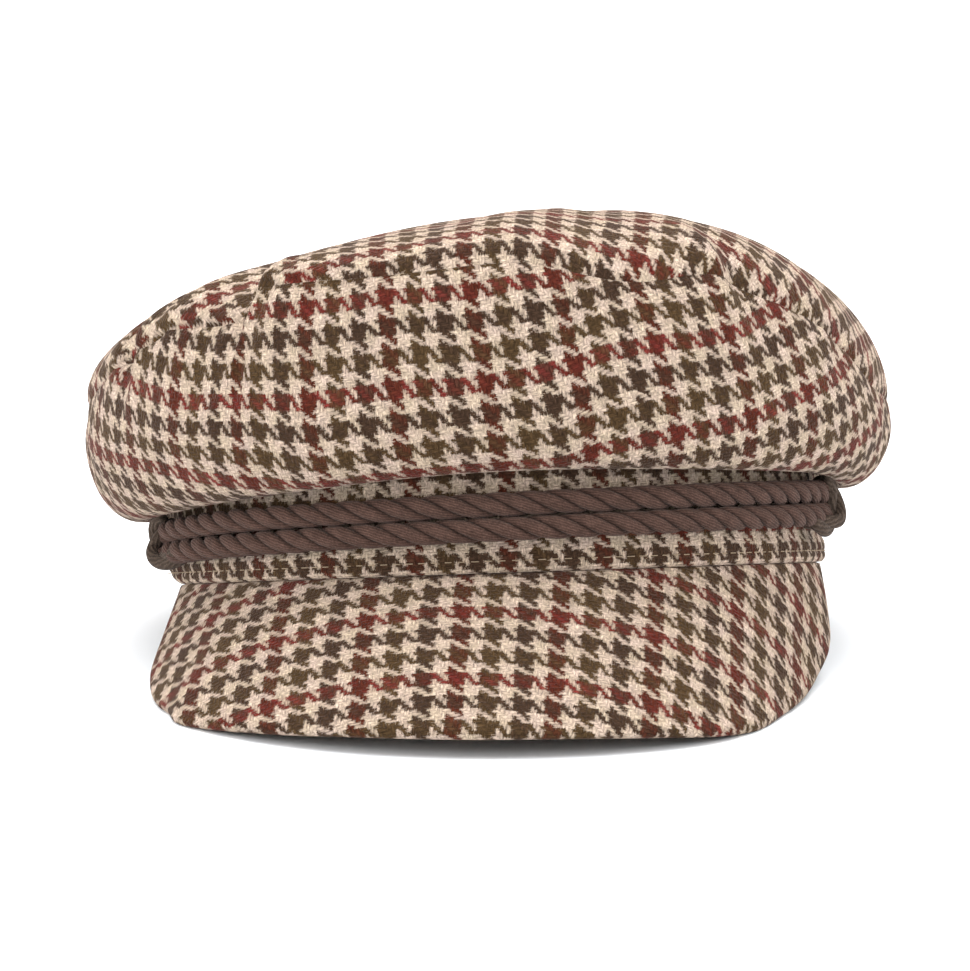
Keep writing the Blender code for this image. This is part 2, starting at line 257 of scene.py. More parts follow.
@dataclass(frozen=True)
class CapForm:
    """Sizes and tables of the whole cap, and how it lies at rest.

    Sizes are in metres. The tables give the seam's rise, the crown's reach, the overhang and the rope's
    height as shares of those sizes, and the lean in degrees. Waves, grooves and their slack are in
    millimetres.
    """

    head_width: float = 0.167
    head_length: float = 0.199
    band_wall: float = 0.0025
    band_height: float = 0.029
    crown_reach: float = 0.0222
    side_rise: float = 0.0455
    dome_rise: float = 0.0190
    dome_right: float = 0.018
    dome_forward: float = 0.016
    overhang_clear: float = 0.005
    seam_lip: float = 0.0015
    cloth: float = 0.0018
    rope_thick: float = 0.0058
    rope_end: float = 73
    touch_gap: float = 0.0003
    pitch: float = -10.6889
    roll: float = -2.0261
    turn: float = 0.1896
    place: tuple[float, float, float] = (0.00276309, 0.00979222, 0.01849678)
    wave_deep: float = 0.28
    wave_fade: Pair = (4.0, 3.0)
    waves: tuple[tuple[float, ...], ...] = ((5, 2.1, 0.7, 1.0), (11, -3.3, 2.0, 0.7), (17, 5.1, 4.4, 0.5))
    pucker_share: float = 0.35
    puckers: tuple[tuple[float, ...], ...] = ((61, 1.6, 7, 1.0), (97, 2.2, 5, 0.6))
    groove_wide: float = 1.1
    slack_wide: float = 5.0
    seam: Table = Table(
        ("at", "up"),
        (
            (-180, 0.41), (-120, 0.39), (-90, 0.41), (-80, 0.43), (-73, 0.49),
            (-66, 0.575), (-60, 0.645), (-54, 0.70), (-50, 0.775), (-37, 0.785),
            (-33, 0.97), (-15, 0.99), (3, 1.03), (22, 0.91), (32, 0.95),
            (44, 0.82), (56, 0.67), (76, 0.33), (100, 0.28), (140, 0.36),
        ),
    )
    crown: Table = Table(
        ("at", "seam", "bulge", "bulge_up", "hang", "lean", "shoulder", "top"),
        (
            (-180, 0.70, 0.85, 0.60, 0.25, 8, 0.55, 0.52),
            (-135, 0.82, 0.93, 0.66, 0.20, 6, 0.56, 0.50),
            (-90, 0.97, 1.00, 0.72, 0.05, 2, 0.56, 0.46),
            (-62, 0.90, 0.95, 0.60, 0.15, 6, 0.46, 0.34),
            (-40, 0.76, 0.86, 0.48, 0.45, 12, 0.42, 0.28),
            (0, 0.60, 0.72, 0.42, 1.00, 18, 0.68, 0.50),
            (40, 0.68, 0.80, 0.45, 0.60, 14, 0.66, 0.60),
            (65, 0.78, 0.85, 0.55, 0.25, 8, 0.55, 0.62),
            (90, 0.85, 0.87, 0.68, -0.45, 3, 0.52, 0.60),
            (135, 0.80, 0.87, 0.64, 0.20, 6, 0.55, 0.54),
        ),
    )
    dents: tuple[Dent, ...] = (
        Dent(-34, -40, 0.35, 6, 0.20),
        Dent(-61, -57, 0.70, 5, 0.12),
        Dent(38, 40, 0.70, 5, 0.08),
    )
    rope: Table = Table(
        ("at", "up"),
        ((-180, 0.44), (-86, 0.355), (-45, 0.428), (0, 0.476), (45, 0.510), (86, 0.531)),
    )
    seam_grooves: Table = Table(
        ("at", "deep", "slack"),
        (
            (-170, 0.8, 0.5), (-90, 0.4, 0.3), (-66, 0.6, 0.4), (-46, 0.9, 0.7),
            (-34, 0.5, 0.3), (-10, 0.30, 0.12), (20, 0.30, 0.12), (40, 0.45, 0.25),
            (70, 0.6, 0.3), (84, 0.4, 0.1), (120, 0.8, 0.5),
        ),
    )
    folds: tuple[Fold, ...] = (
        Fold((-32.8, 1.08), (-39.6, 0.52), 2.3, -2.3),
        Fold((-42.5, 1.02), (-43.5, 0.62), 4.8, 2.0),
        Fold((-38.0, 1.06), (-40.0, 0.95), 3.4, 1.0),
        Fold((-44.0, 1.20), (-54.0, 1.12), 5.5, -1.3),
        Fold((-55.4, 1.16), (-58.4, 0.66), 2.2, -1.5),
        Fold((-61.5, 1.06), (-61.5, 0.70), 3.8, 1.2),
        Fold((-48.5, 0.98), (-50.5, 0.74), 2.2, 0.8),
        Fold((33.0, 1.20), (36.5, 0.80), 3.2, -0.9),
        Fold((40.5, 1.14), (43.0, 0.70), 4.2, 1.1),
        Fold((62.0, 1.14), (58.0, 0.70), 4.2, 0.8),
        Fold((84.0, 0.95), (76.0, 0.35), 6.0, 0.9),
        Fold((-84.0, 0.90), (-78.0, 0.30), 6.0, 0.8),
        Fold((118.0, 1.15), (110.0, 0.45), 6.0, 1.3),
        Fold((152.0, 1.10), (160.0, 0.50), 6.5, 1.4),
        Fold((-150.0, 1.15), (-158.0, 0.50), 6.0, 1.3),
        Fold((-118.0, 1.15), (-108.0, 0.45), 6.5, 1.2),
    )

    @property
    def half_width(self) -> float:
        """Half the band's outer width."""
        return self.head_width / 2 + self.band_wall

    @property
    def half_length(self) -> float:
        """Half the band's outer length."""
        return self.head_length / 2 + self.band_wall

    @property
    def at_rest(self) -> Matrix:
        """Finds the move from the upright drawing to the cap as it lies.

        Returns:
            The move.
        """
        turns = ((self.turn, "Z"), (self.roll, "Y"), (self.pitch, "X"))
        about_z, about_y, about_x = (Matrix.Rotation(math.radians(angle), 4, axis) for angle, axis in turns)
        return Matrix.Translation(self.place) @ (about_z @ about_y @ about_x)

    def laid(self, points: np.ndarray) -> np.ndarray:
        """Lays points of the upright drawing down as the cap rests.

        Args:
            points: The points, as an array whose last axis holds the coordinates.

        Returns:
            The same points as they lie, pressed flat where they meet the surface.
        """
        move = np.array(self.at_rest)
        moved = points @ move[:3, :3].T + move[:3, 3]
        moved[..., 2] = np.maximum(moved[..., 2], 0)
        return moved

    def around(self, at: np.ndarray, out: np.ndarray | float, up: np.ndarray | float) -> np.ndarray:
        """Places points round the band.

        Args:
            at: Angles in degrees.
            out: Distances out from the band's outer face.
            up: Heights over its lower edge.

        Returns:
            Points, with the three arrays spread against each other.
        """
        at, out, up = np.broadcast_arrays(np.radians(at), out, up)
        level = np.zeros_like(at)
        normal = unit(np.stack([self.half_length * np.sin(at), -self.half_width * np.cos(at), level], -1))
        point = np.stack([self.half_width * np.sin(at), -self.half_length * np.cos(at), up], -1)
        return point + normal * out[..., None]

    def edge(self, at: np.ndarray) -> np.ndarray:
        """The band's lower edge at each angle."""
        return self.around(at, 0.0, 0.0)

    def rope_middle(self, at: np.ndarray) -> np.ndarray:
        """Height of the middle of the doubled rope."""
        return self.rope.read("up", at) * self.band_height

    def overhang(self, at: np.ndarray) -> np.ndarray:
        """Lowest level of the crown where it hangs over the band."""
        clear = self.crown.read("hang", at) * self.overhang_clear
        return self.rope_middle(at) + self.rope_thick + self.touch_gap + clear

    def seam_line(self, at: np.ndarray) -> tuple[np.ndarray, np.ndarray, np.ndarray]:
        """Reads the tip's seam.

        Args:
            at: Angles in degrees.

        Returns:
            The seam as out and up, the way the cloth runs there, and the way out of it.
        """
        lean = np.radians(self.crown.read("lean", at))
        out = self.crown.read("seam", at) * self.crown_reach
        up = self.band_height + self.seam.read("up", at) * self.side_rise
        run = np.stack([-np.sin(lean), np.cos(lean)], -1)
        away = np.stack([np.cos(lean), np.sin(lean)], -1)
        return np.stack([out, up], -1), run, away

    def seam_away(self, at: np.ndarray) -> np.ndarray:
        """The way out of the tip's seam, as vectors of the upright drawing."""
        away = self.seam_line(at)[2]
        return self.around(at, away[:, 0], away[:, 1]) - self.edge(at)

    def dent(self, at: np.ndarray, level: np.ndarray) -> np.ndarray:
        """How deep the side's main dents are, in metres."""
        return sum(dent.depth(at, level) for dent in self.dents) * self.crown_reach

    def crumple(self, at: np.ndarray, level: np.ndarray) -> np.ndarray:
        """Reads how far the folds and a slow waviness move the crown's cloth in.

        Args:
            at: Angles in degrees.
            level: 0 at the overhang, 1 at the seam, 2 at the top.

        Returns:
            Depths in metres.
        """
        folded = sum(fold.depth(at, level) for fold in self.folds)
        turn = np.radians(at)
        wave = 0.0
        for count, drift, start, share in self.waves:
            wave = wave + share * np.sin(count * turn + drift * level + start)
        foot_fade, top_fade = self.wave_fade
        fade = np.clip((2 - level) * top_fade, 0, 1) * np.clip(level * foot_fade, 0, 1)
        return folded + self.wave_deep * MM * wave * fade

    def seam_pull(self, at: np.ndarray, from_seam: np.ndarray) -> np.ndarray:
        """Reads how far the tip's seam draws the cloth in, with its small puckers.

        Args:
            at: Angles in degrees.
            from_seam: Distance from the seam in metres.

        Returns:
            Depths in metres, the same on both sides of the seam.
        """
        turn = np.radians(at)
        pucker = 0.0
        for count, sway, slow, share in self.puckers:
            pucker = pucker + share * np.sin(count * turn + sway * np.sin(slow * turn))
        groove = self.seam_grooves.read("deep", at) * np.exp(-((from_seam / (self.groove_wide * MM)) ** 2))
        slack = self.seam_grooves.read("slack", at) * np.exp(-((from_seam / (self.slack_wide * MM)) ** 2))
        return (groove + slack * (1 + self.pucker_share * pucker)) * MM


class Nodes:
    """Short calls that lay out a material's nodes."""

    def __init__(self, name: str) -> None:
        """Makes the material with its plain shader.

        Args:
            name: The material's name.
        """
        self.material = bpy.data.materials.new(name)
        self.material.use_nodes = True
        self.tree = self.material.node_tree
        self.shader = self.tree.nodes["Principled BSDF"]

    def feed(self, value: Value, socket: Socket) -> None:
        """Links a socket to another, or gives it a plain value.

        Args:
            value: A socket, a number, a vector or a colour.
            socket: The input that takes it.
        """
        if isinstance(value, Socket):
            self.tree.links.new(value, socket)
        elif isinstance(value, tuple) and len(value) == 3 and len(socket.default_value) == 4:
            socket.default_value = (*value, 1)
        else:
            socket.default_value = value

    def put(self, kind: str, inputs: dict[int | str, Value], **settings: str) -> bpy.types.Node:
        """Adds a node.

        Args:
            kind: The node's kind, as Blender names it after ShaderNode.
            inputs: What its inputs get, by their number or name.
            settings: Its properties, set before its inputs.

        Returns:
            The node.
        """
        node = self.tree.nodes.new("ShaderNode" + kind)
        for name, value in settings.items():
            setattr(node, name, value)
        for key, value in inputs.items():
            self.feed(value, node.inputs[key])
        return node

    def math(self, operation: str, *values: Value) -> Socket:
        """The result of an operation on up to three numbers."""
        return self.put("Math", dict(enumerate(values)), operation=operation).outputs[0]

    def times(self, first: Value, second: Value) -> Socket:
        """The product of two numbers."""
        return self.math("MULTIPLY", first, second)

    def line(self, value: Value, factor: Value, shift: Value) -> Socket:
        """A number times a factor, plus a shift."""
        return self.math("MULTIPLY_ADD", value, factor, shift)

    def mix(self, share: Value, first: Value, second: Value) -> Socket:
        """A colour between two colours."""
        return self.put("Mix", {0: share, 6: first, 7: second}, data_type="RGBA").outputs[2]

    def blend(self, share: Value, first: Value, second: Value) -> Socket:
        """A number between two numbers."""
        return self.put("Mix", {0: share, 2: first, 3: second}, data_type="FLOAT").outputs[0]

    def vector(self, operation: str, place: Value, other: Value) -> Socket:
        """The result of an operation on two vectors."""
        return self.put("VectorMath", {0: place, 1: other}, operation=operation).outputs[0]

    def shade(self, colour: Value, factor: Value) -> Socket:
        """A colour made lighter or darker by a factor."""
        return self.put("VectorMath", {0: colour, 3: factor}, operation="SCALE").outputs[0]

    def noise(self, place: Value, scale: float, detail: float) -> bpy.types.Node:
        """A soft noise over a place."""
        return self.put("TexNoise", {"Vector": place, "Scale": scale, "Detail": detail})

    def grain(self, place: Value, across: float, along: float, detail: float = 3.0) -> Socket:
        """A noise from 0 to 1 whose fineness differs across and along."""
        return self.noise(self.vector("MULTIPLY", place, (across, along, 1.0)), 1.0, detail).outputs[0]

    def cloth_place(self) -> tuple[Socket, Socket, Socket]:
        """Reads the cloth map.

        Returns:
            The place on the cloth as a vector, and its two numbers, across and along.
        """
        place = self.put("UVMap", {}, uv_map=CLOTH_MAP).outputs[0]
        parts = self.put("SeparateXYZ", {0: place}).outputs
        return place, parts[0], parts[1]

    def bump(self, height: Value, distance: float, strength: float = 0.9) -> Socket:
        """A relief for the shader's normal, its height in shares of the distance."""
        return self.put("Bump", {"Strength": strength, "Distance": distance, "Height": height}).outputs[0]

    def surface(self, values: dict[str, Value]) -> bpy.types.Material:
        """Sets the shader's own sockets.

        Args:
            values: What each socket gets, by its name.

        Returns:
            The finished material.
        """
        for name, value in values.items():
            self.feed(value, self.shader.inputs[name])
        return self.material


@dataclass(frozen=True)
class HoundstoothWool:
    """Woollen twill in a houndstooth check whose dark yarns run wine red, olive and blackish in turn.

    Lengths are in yarns. A grain is a noise's fineness across and along a yarn. A tone is a factor and a
    shift, which turn a noise or a yarn's height into a share of its colour; the crest's tone is painted
    shade, darker in the valleys between yarns.
    """

    name: str = "houndstooth_wool"
    light: Colour = (0.430, 0.340, 0.250)
    light_pink: Colour = (0.455, 0.350, 0.285)
    wine: Colour = (0.063, 0.016, 0.009)
    wine_bright: Colour = (0.135, 0.021, 0.018)
    blackish: Colour = (0.042, 0.024, 0.015)
    olive: Colour = (0.057, 0.034, 0.016)
    group: float = 8.0
    twill: float = 4.0
    drift: float = 1.1
    drift_fine: float = 0.07
    waver: float = 0.4
    waver_fine: float = 1.1
    spikes: float = 1.15
    spike_grain: Pair = (3.0, 0.5)
    fuzz: float = 3.8
    fuzz_share: float = 0.42
    fuzz_seed: Pair = (41.0, 69.7)
    dark_blur: float = 0.6
    show_through: float = 0.22
    dark_wider: float = 0.2
    tint_fine: float = 0.16
    tint_tone: Pair = (3.0, -1.0)
    hair_grain: Pair = (3.4, 0.6)
    hair_tone: Pair = (2.4, -0.2)
    patch_fine: float = 0.5
    patch_tone: Pair = (0.7, 0.65)
    # Painted shade between yarns, read from each yarn's height.
    crest_shade_tone: Pair = (0.5, 0.65)
    crest_fall: Pair = (0.6, 0.55)
    hair_height: float = 0.9
    relief: float = 0.0003
    roughness: float = 0.95
    specular: float = 0.04
    sheen: float = 0.16
    sheen_roughness: float = 0.2
    sheen_tint: Colour = (1.0, 0.79, 0.72)

    def material(self) -> bpy.types.Material:
        """Weaves the cloth yarn by yarn; the map counts yarns.

        Returns:
            The material.
        """
        nodes = Nodes(self.name)
        place, warp, weft = nodes.cloth_place()
        for fine, reach in ((self.drift_fine, self.drift), (self.waver_fine, self.waver)):
            noise = nodes.noise(place, fine, 1.0).outputs["Color"]
            parts = nodes.put("SeparateColor", {0: noise}).outputs
            warp = nodes.math("ADD", warp, nodes.line(parts[0], reach * 2, -reach))
            weft = nodes.math("ADD", weft, nodes.line(parts[1], reach * 2, -reach))
        warp, weft = (self.widened(nodes, yarns) for yarns in (warp, weft))
        colour, crest, warp_up = self.woven(nodes, place, warp, weft, self.spikes, (0.0, 0.0))
        loose = self.woven(nodes, place, warp, weft, self.fuzz, self.fuzz_seed)[0]
        colour = nodes.mix(self.fuzz_share, colour, loose)
        fine, long = self.hair_grain
        hair = nodes.blend(warp_up, nodes.grain(place, long, fine), nodes.grain(place, fine, long))
        patch = nodes.grain(place, self.patch_fine, self.patch_fine, 1.0)
        tone = nodes.times(nodes.line(hair, *self.hair_tone), nodes.line(patch, *self.patch_tone))
        # Painted shade: the crest's tone darkens the cloth's colour in the valleys between yarns.
        tone = nodes.times(tone, nodes.line(crest, *self.crest_shade_tone))
        return nodes.surface(
            {
                "Base Color": nodes.shade(colour, tone),
                "Normal": nodes.bump(nodes.line(hair, self.hair_height, crest), self.relief),
                "Roughness": self.roughness,
                "Specular IOR Level": self.specular,
                "Sheen Weight": self.sheen,
                "Sheen Roughness": self.sheen_roughness,
                "Sheen Tint": self.sheen_tint,
            }
        )

    def widened(self, nodes: Nodes, yarns: Socket) -> Socket:
        """Counts the dark yarns a little wider than the light ones."""
        wave = nodes.math("COSINE", nodes.times(yarns, FULL / self.group))
        return nodes.line(wave, self.dark_wider, yarns)

    def woven(
        self, nodes: Nodes, place: Socket, warp: Socket, weft: Socket, spikes: float, seed: Pair
    ) -> tuple[Socket, Socket, Socket]:
        """Reads the weave once, with the yarns' ends drawn out into spikes.

        Args:
            nodes: The material's nodes.
            place: The place on the cloth.
            warp: Yarns counted across.
            weft: Yarns counted up.
            spikes: How many yarns the spikes reach over, end to end.
            seed: Moves the spikes, so that two readings differ.

        Returns:
            The yarn's colour, its height and whether it is a warp yarn.
        """
        fine, long = self.spike_grain
        moved = nodes.vector("ADD", place, (*seed, 0.0))
        ends_up, ends_aside = nodes.grain(moved, fine, long, 2.0), nodes.grain(moved, long, fine, 2.0)
        weft = nodes.math("ADD", weft, nodes.line(ends_up, spikes, -spikes / 2))
        warp = nodes.math("ADD", warp, nodes.line(ends_aside, spikes, -spikes / 2))
        warp_yarn, weft_yarn = nodes.math("FLOOR", warp), nodes.math("FLOOR", weft)
        in_warp, in_weft = nodes.math("SUBTRACT", warp, warp_yarn), nodes.math("SUBTRACT", weft, weft_yarn)
        step = nodes.math("FLOORED_MODULO", nodes.math("ADD", warp_yarn, weft_yarn), self.twill)
        warp_up = nodes.math("LESS_THAN", step, self.twill / 2 - 0.5)
        tint = nodes.line(nodes.grain(place, self.tint_fine, self.tint_fine, 2.0), *self.tint_tone)
        tint.node.use_clamp = True
        light = nodes.mix(tint, self.light, self.light_pink)
        red = nodes.mix(tint, self.wine_bright, self.wine)
        upright, upright_dark = self.yarn_colour(nodes, warp_yarn, light, self.wine)
        level, level_dark = self.yarn_colour(nodes, weft_yarn, light, red)
        blurred = nodes.times(nodes.times(upright_dark, level_dark), self.dark_blur)
        share = nodes.blend(blurred, warp_up, 0.5)
        on_top = nodes.blend(warp_up, level_dark, upright_dark)
        hidden = nodes.math("SUBTRACT", nodes.math("MAXIMUM", upright_dark, level_dark), on_top)
        shown = nodes.times(hidden, self.show_through)
        share = nodes.blend(shown, share, nodes.math("SUBTRACT", 1.0, share))
        run_up = nodes.math("ADD", step, in_weft)
        run_on = nodes.math("ADD", nodes.math("SUBTRACT", step, self.twill / 2), in_warp)
        crest = nodes.blend(warp_up, self.hump(nodes, in_weft, run_on), self.hump(nodes, in_warp, run_up))
        return nodes.mix(share, level, upright), crest, warp_up

    def yarn_colour(self, nodes: Nodes, yarn: Socket, light: Socket, red: Value) -> tuple[Socket, Socket]:
        """Colours a yarn by its number.

        Args:
            nodes: The material's nodes.
            yarn: The yarn's number.
            light: The light yarns' colour.
            red: The colour of the first dark group of three.

        Returns:
            The yarn's colour, and whether it is dark.
        """
        in_group = nodes.math("FLOORED_MODULO", yarn, self.group)
        dark = nodes.math("LESS_THAN", in_group, self.group / 2 - 0.5)
        group = nodes.math("FLOOR", nodes.math("DIVIDE", yarn, self.group))
        turn = nodes.math("FLOORED_MODULO", group, 3.0)
        deep = nodes.mix(nodes.math("GREATER_THAN", turn, 0.5), red, self.olive)
        deep = nodes.mix(nodes.math("GREATER_THAN", turn, 1.5), deep, self.blackish)
        return nodes.mix(dark, light, deep), dark

    def hump(self, nodes: Nodes, across: Socket, along: Socket) -> Socket:
        """Shapes a yarn where it lies on top: round across, and round along its two crossings.

        Args:
            nodes: The material's nodes.
            across: The place across the yarn, 0 to 1.
            along: The place along it, 0 to 2.

        Returns:
            The yarn's height, 1 on its crest.
        """
        side, reach = nodes.line(across, 2.0, -1.0), nodes.math("SUBTRACT", along, 1.0)
        fall_across, fall_along = self.crest_fall
        fall = nodes.times(nodes.times(reach, reach), fall_along)
        fall = nodes.line(nodes.times(side, side), fall_across, fall)
        return nodes.math("SUBTRACT", 1.0, fall)


@dataclass(frozen=True)
class TwistedYarn:
    """Cord made of fine yarns that wind round each strand, with painted shade between the yarns and in the
    creases between strands.

    A yarn's run for one turn is in millimetres. Grains and tones are as in the wool.
    """

    name: str
    colour: Colour
    yarns: float
    per_turn: float
    relief: float
    sheen: float
    strands: float = 0.0
    hair_grain: Pair = (9.0, 0.8)
    hair_drift: float = 1.1
    fibre_grain: Pair = (24.0, 2.2)
    patch_grain: Pair = (3.0, 0.35)
    # Painted shade between yarns, read from each yarn's height.
    crest_shade_tone: Pair = (0.5, 0.64)
    fibre_tone: Pair = (1.6, 0.2)
    patch_tone: Pair = (0.9, 0.55)
    # Painted shade in the creases between strands.
    crease_shade_tone: Pair = (-0.8, 1.0)
    crease_sharp: float = 6.0
    fibre_height: float = 0.5
    roughness: float = 0.85
    specular: float = 0.08
    sheen_roughness: float = 0.35
    sheen_tint: Colour = (1.0, 0.86, 0.80)

    def material(self) -> bpy.types.Material:
        """Draws the yarns as fine lines, with painted shade between them; the map runs 0 to 1 round the
        strand and in millimetres along it.

        Returns:
            The material.
        """
        nodes = Nodes(self.name)
        place, around, along = nodes.cloth_place()
        turns = nodes.math("SUBTRACT", around, nodes.math("DIVIDE", along, self.per_turn))
        hair = nodes.grain(place, *self.hair_grain)
        count = nodes.line(hair, self.hair_drift, nodes.times(turns, self.yarns))
        crest = nodes.line(nodes.math("SINE", nodes.times(count, FULL)), 0.5, 0.5)
        fibre = nodes.grain(place, *self.fibre_grain)
        patch = nodes.grain(place, *self.patch_grain, 2.0)
        # Painted shade: the crest's tone darkens the colour between yarns.
        tone = nodes.times(nodes.line(crest, *self.crest_shade_tone), nodes.line(fibre, *self.fibre_tone))
        tone = nodes.times(tone, nodes.line(patch, *self.patch_tone))
        # Painted shade: the colour darkens towards each crease between strands.
        if self.strands:
            share = nodes.math("FRACT", nodes.times(around, self.strands))
            off = nodes.math("ABSOLUTE", nodes.line(share, 2.0, -1.0))
            crease = nodes.math("POWER", off, self.crease_sharp)
            tone = nodes.times(tone, nodes.line(crease, *self.crease_shade_tone))
        return nodes.surface(
            {
                "Base Color": nodes.shade(self.colour, tone),
                "Normal": nodes.bump(nodes.line(fibre, self.fibre_height, crest), self.relief),
                "Roughness": self.roughness,
                "Specular IOR Level": self.specular,
                "Sheen Weight": self.sheen,
                "Sheen Roughness": self.sheen_roughness,
                "Sheen Tint": self.sheen_tint,
            }
        )


LAID_ROPE = TwistedYarn(
    name="rope_yarn_cord",
    colour=(0.080, 0.045, 0.035),
    yarns=26.0,
    per_turn=42.0,
    relief=0.0002,
    sheen=0.08,
    strands=3.0,
)
DARK_CORD = TwistedYarn(
    name="dark_yarn_cord",
    colour=(0.070, 0.050, 0.038),
    yarns=9.0,
    per_turn=34.0,
    relief=0.0003,
    sheen=0.08,
)
HEM_THREAD = TwistedYarn(
    name="hem_thread",
    colour=(0.40, 0.30, 0.20),
    yarns=3.0,
    per_turn=2.0,
    relief=0.0001,
    sheen=0.1,
)


@dataclass(frozen=True)
class PaleFloor:
    """The plain pale floor."""

    name: str = "pale_floor"
    colour: Colour = (0.90, 0.925, 0.95)
    roughness: float = 0.9
    specular: float = 0.1

    def material(self) -> bpy.types.Material:
        """A matt paper finish."""
        look = {"Base Color": self.colour, "Roughness": self.roughness, "Specular IOR Level": self.specular}
        return Nodes(self.name).surface(look)


@dataclass(frozen=True)
class Weave:
    check_wide: float
    check_tall: float
    red_column: float
    red_row: float
    slant: float = 0.0
    yarns: int = 8

    def place(self, flat: np.ndarray) -> np.ndarray:
        """Turns places on the flat piece, in metres, into counts of yarns.

        Args:
            flat: Places across and up.

        Returns:
            Yarns across and up, with the red groups of both over 0 to 4.
        """
        angle = math.radians(self.slant)
        across = flat[..., 0] * math.cos(angle) - flat[..., 1] * math.sin(angle)
        up = flat[..., 0] * math.sin(angle) + flat[..., 1] * math.cos(angle)
        middle = self.yarns / 4
        columns = (across / MM - self.red_column) / self.check_wide * self.yarns + middle
        rows = (up / MM - self.red_row) / self.check_tall * self.yarns + middle
        return np.stack([columns, rows], -1)


@dataclass(frozen=True)
class Grid:
    """A net of points with its map, ready to become a mesh. A closed net's map has one column more."""

    points: np.ndarray
    cloth: np.ndarray
    closed: bool

    def mesh(self, name: str) -> bpy.types.Mesh:
        """Makes the mesh.

        Args:
            name: The mesh's name.

        Returns:
            A smooth mesh, with points that meet joined.
        """
        wide, tall = self.points.shape[:2]
        spans = wide if self.closed else wide - 1
        column, row = cells(spans, tall - 1)
        here, beside = column * tall + row, (column + 1) % wide * tall + row
        corners = np.stack([here, beside, beside + 1, here + 1], -1)
        steps = ((0, 0), (1, 0), (1, 1), (0, 1))
        mapped = np.stack([self.cloth[column + right, row + up] for right, up in steps], 1)
        mesh = bpy.data.meshes.new(name)
        mesh.from_pydata(self.points.reshape(-1, 3).tolist(), [], corners.tolist())
        layer = mesh.uv_layers.new(name=CLOTH_MAP)
        layer.uv.foreach_set("vector", mapped.astype(np.float32).ravel())
        work = bmesh.new()
        work.from_mesh(mesh)
        bmesh.ops.remove_doubles(work, verts=work.verts, dist=1e-6)
        work.to_mesh(mesh)
        work.free()
        mesh.shade_smooth()
        return mesh


def dress(name: str, mesh: bpy.types.Mesh, finish: bpy.types.Material) -> bpy.types.Object:
    """Adds a piece to the scene, riding on the cap.

    Args:
        name: The piece's name.
        mesh: Its mesh.
        finish: Its material.

    Returns:
        The piece.
    """
    piece = bpy.data.objects.new(name, mesh)
    bpy.context.scene.collection.objects.link(piece)
    mesh.materials.append(finish)
    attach(piece, "root")
    logging.info("%s: %d faces", name, len(mesh.polygons))
    return piece


def add_wall(piece: bpy.types.Object, thickness: float) -> None:
    """Gives a cloth surface its thickness, inwards.

    Args:
        piece: The piece.
        thickness: The cloth's thickness in metres.
    """
    wall = piece.modifiers.new("wall", "SOLIDIFY")
    wall.thickness = thickness
    wall.offset = -1


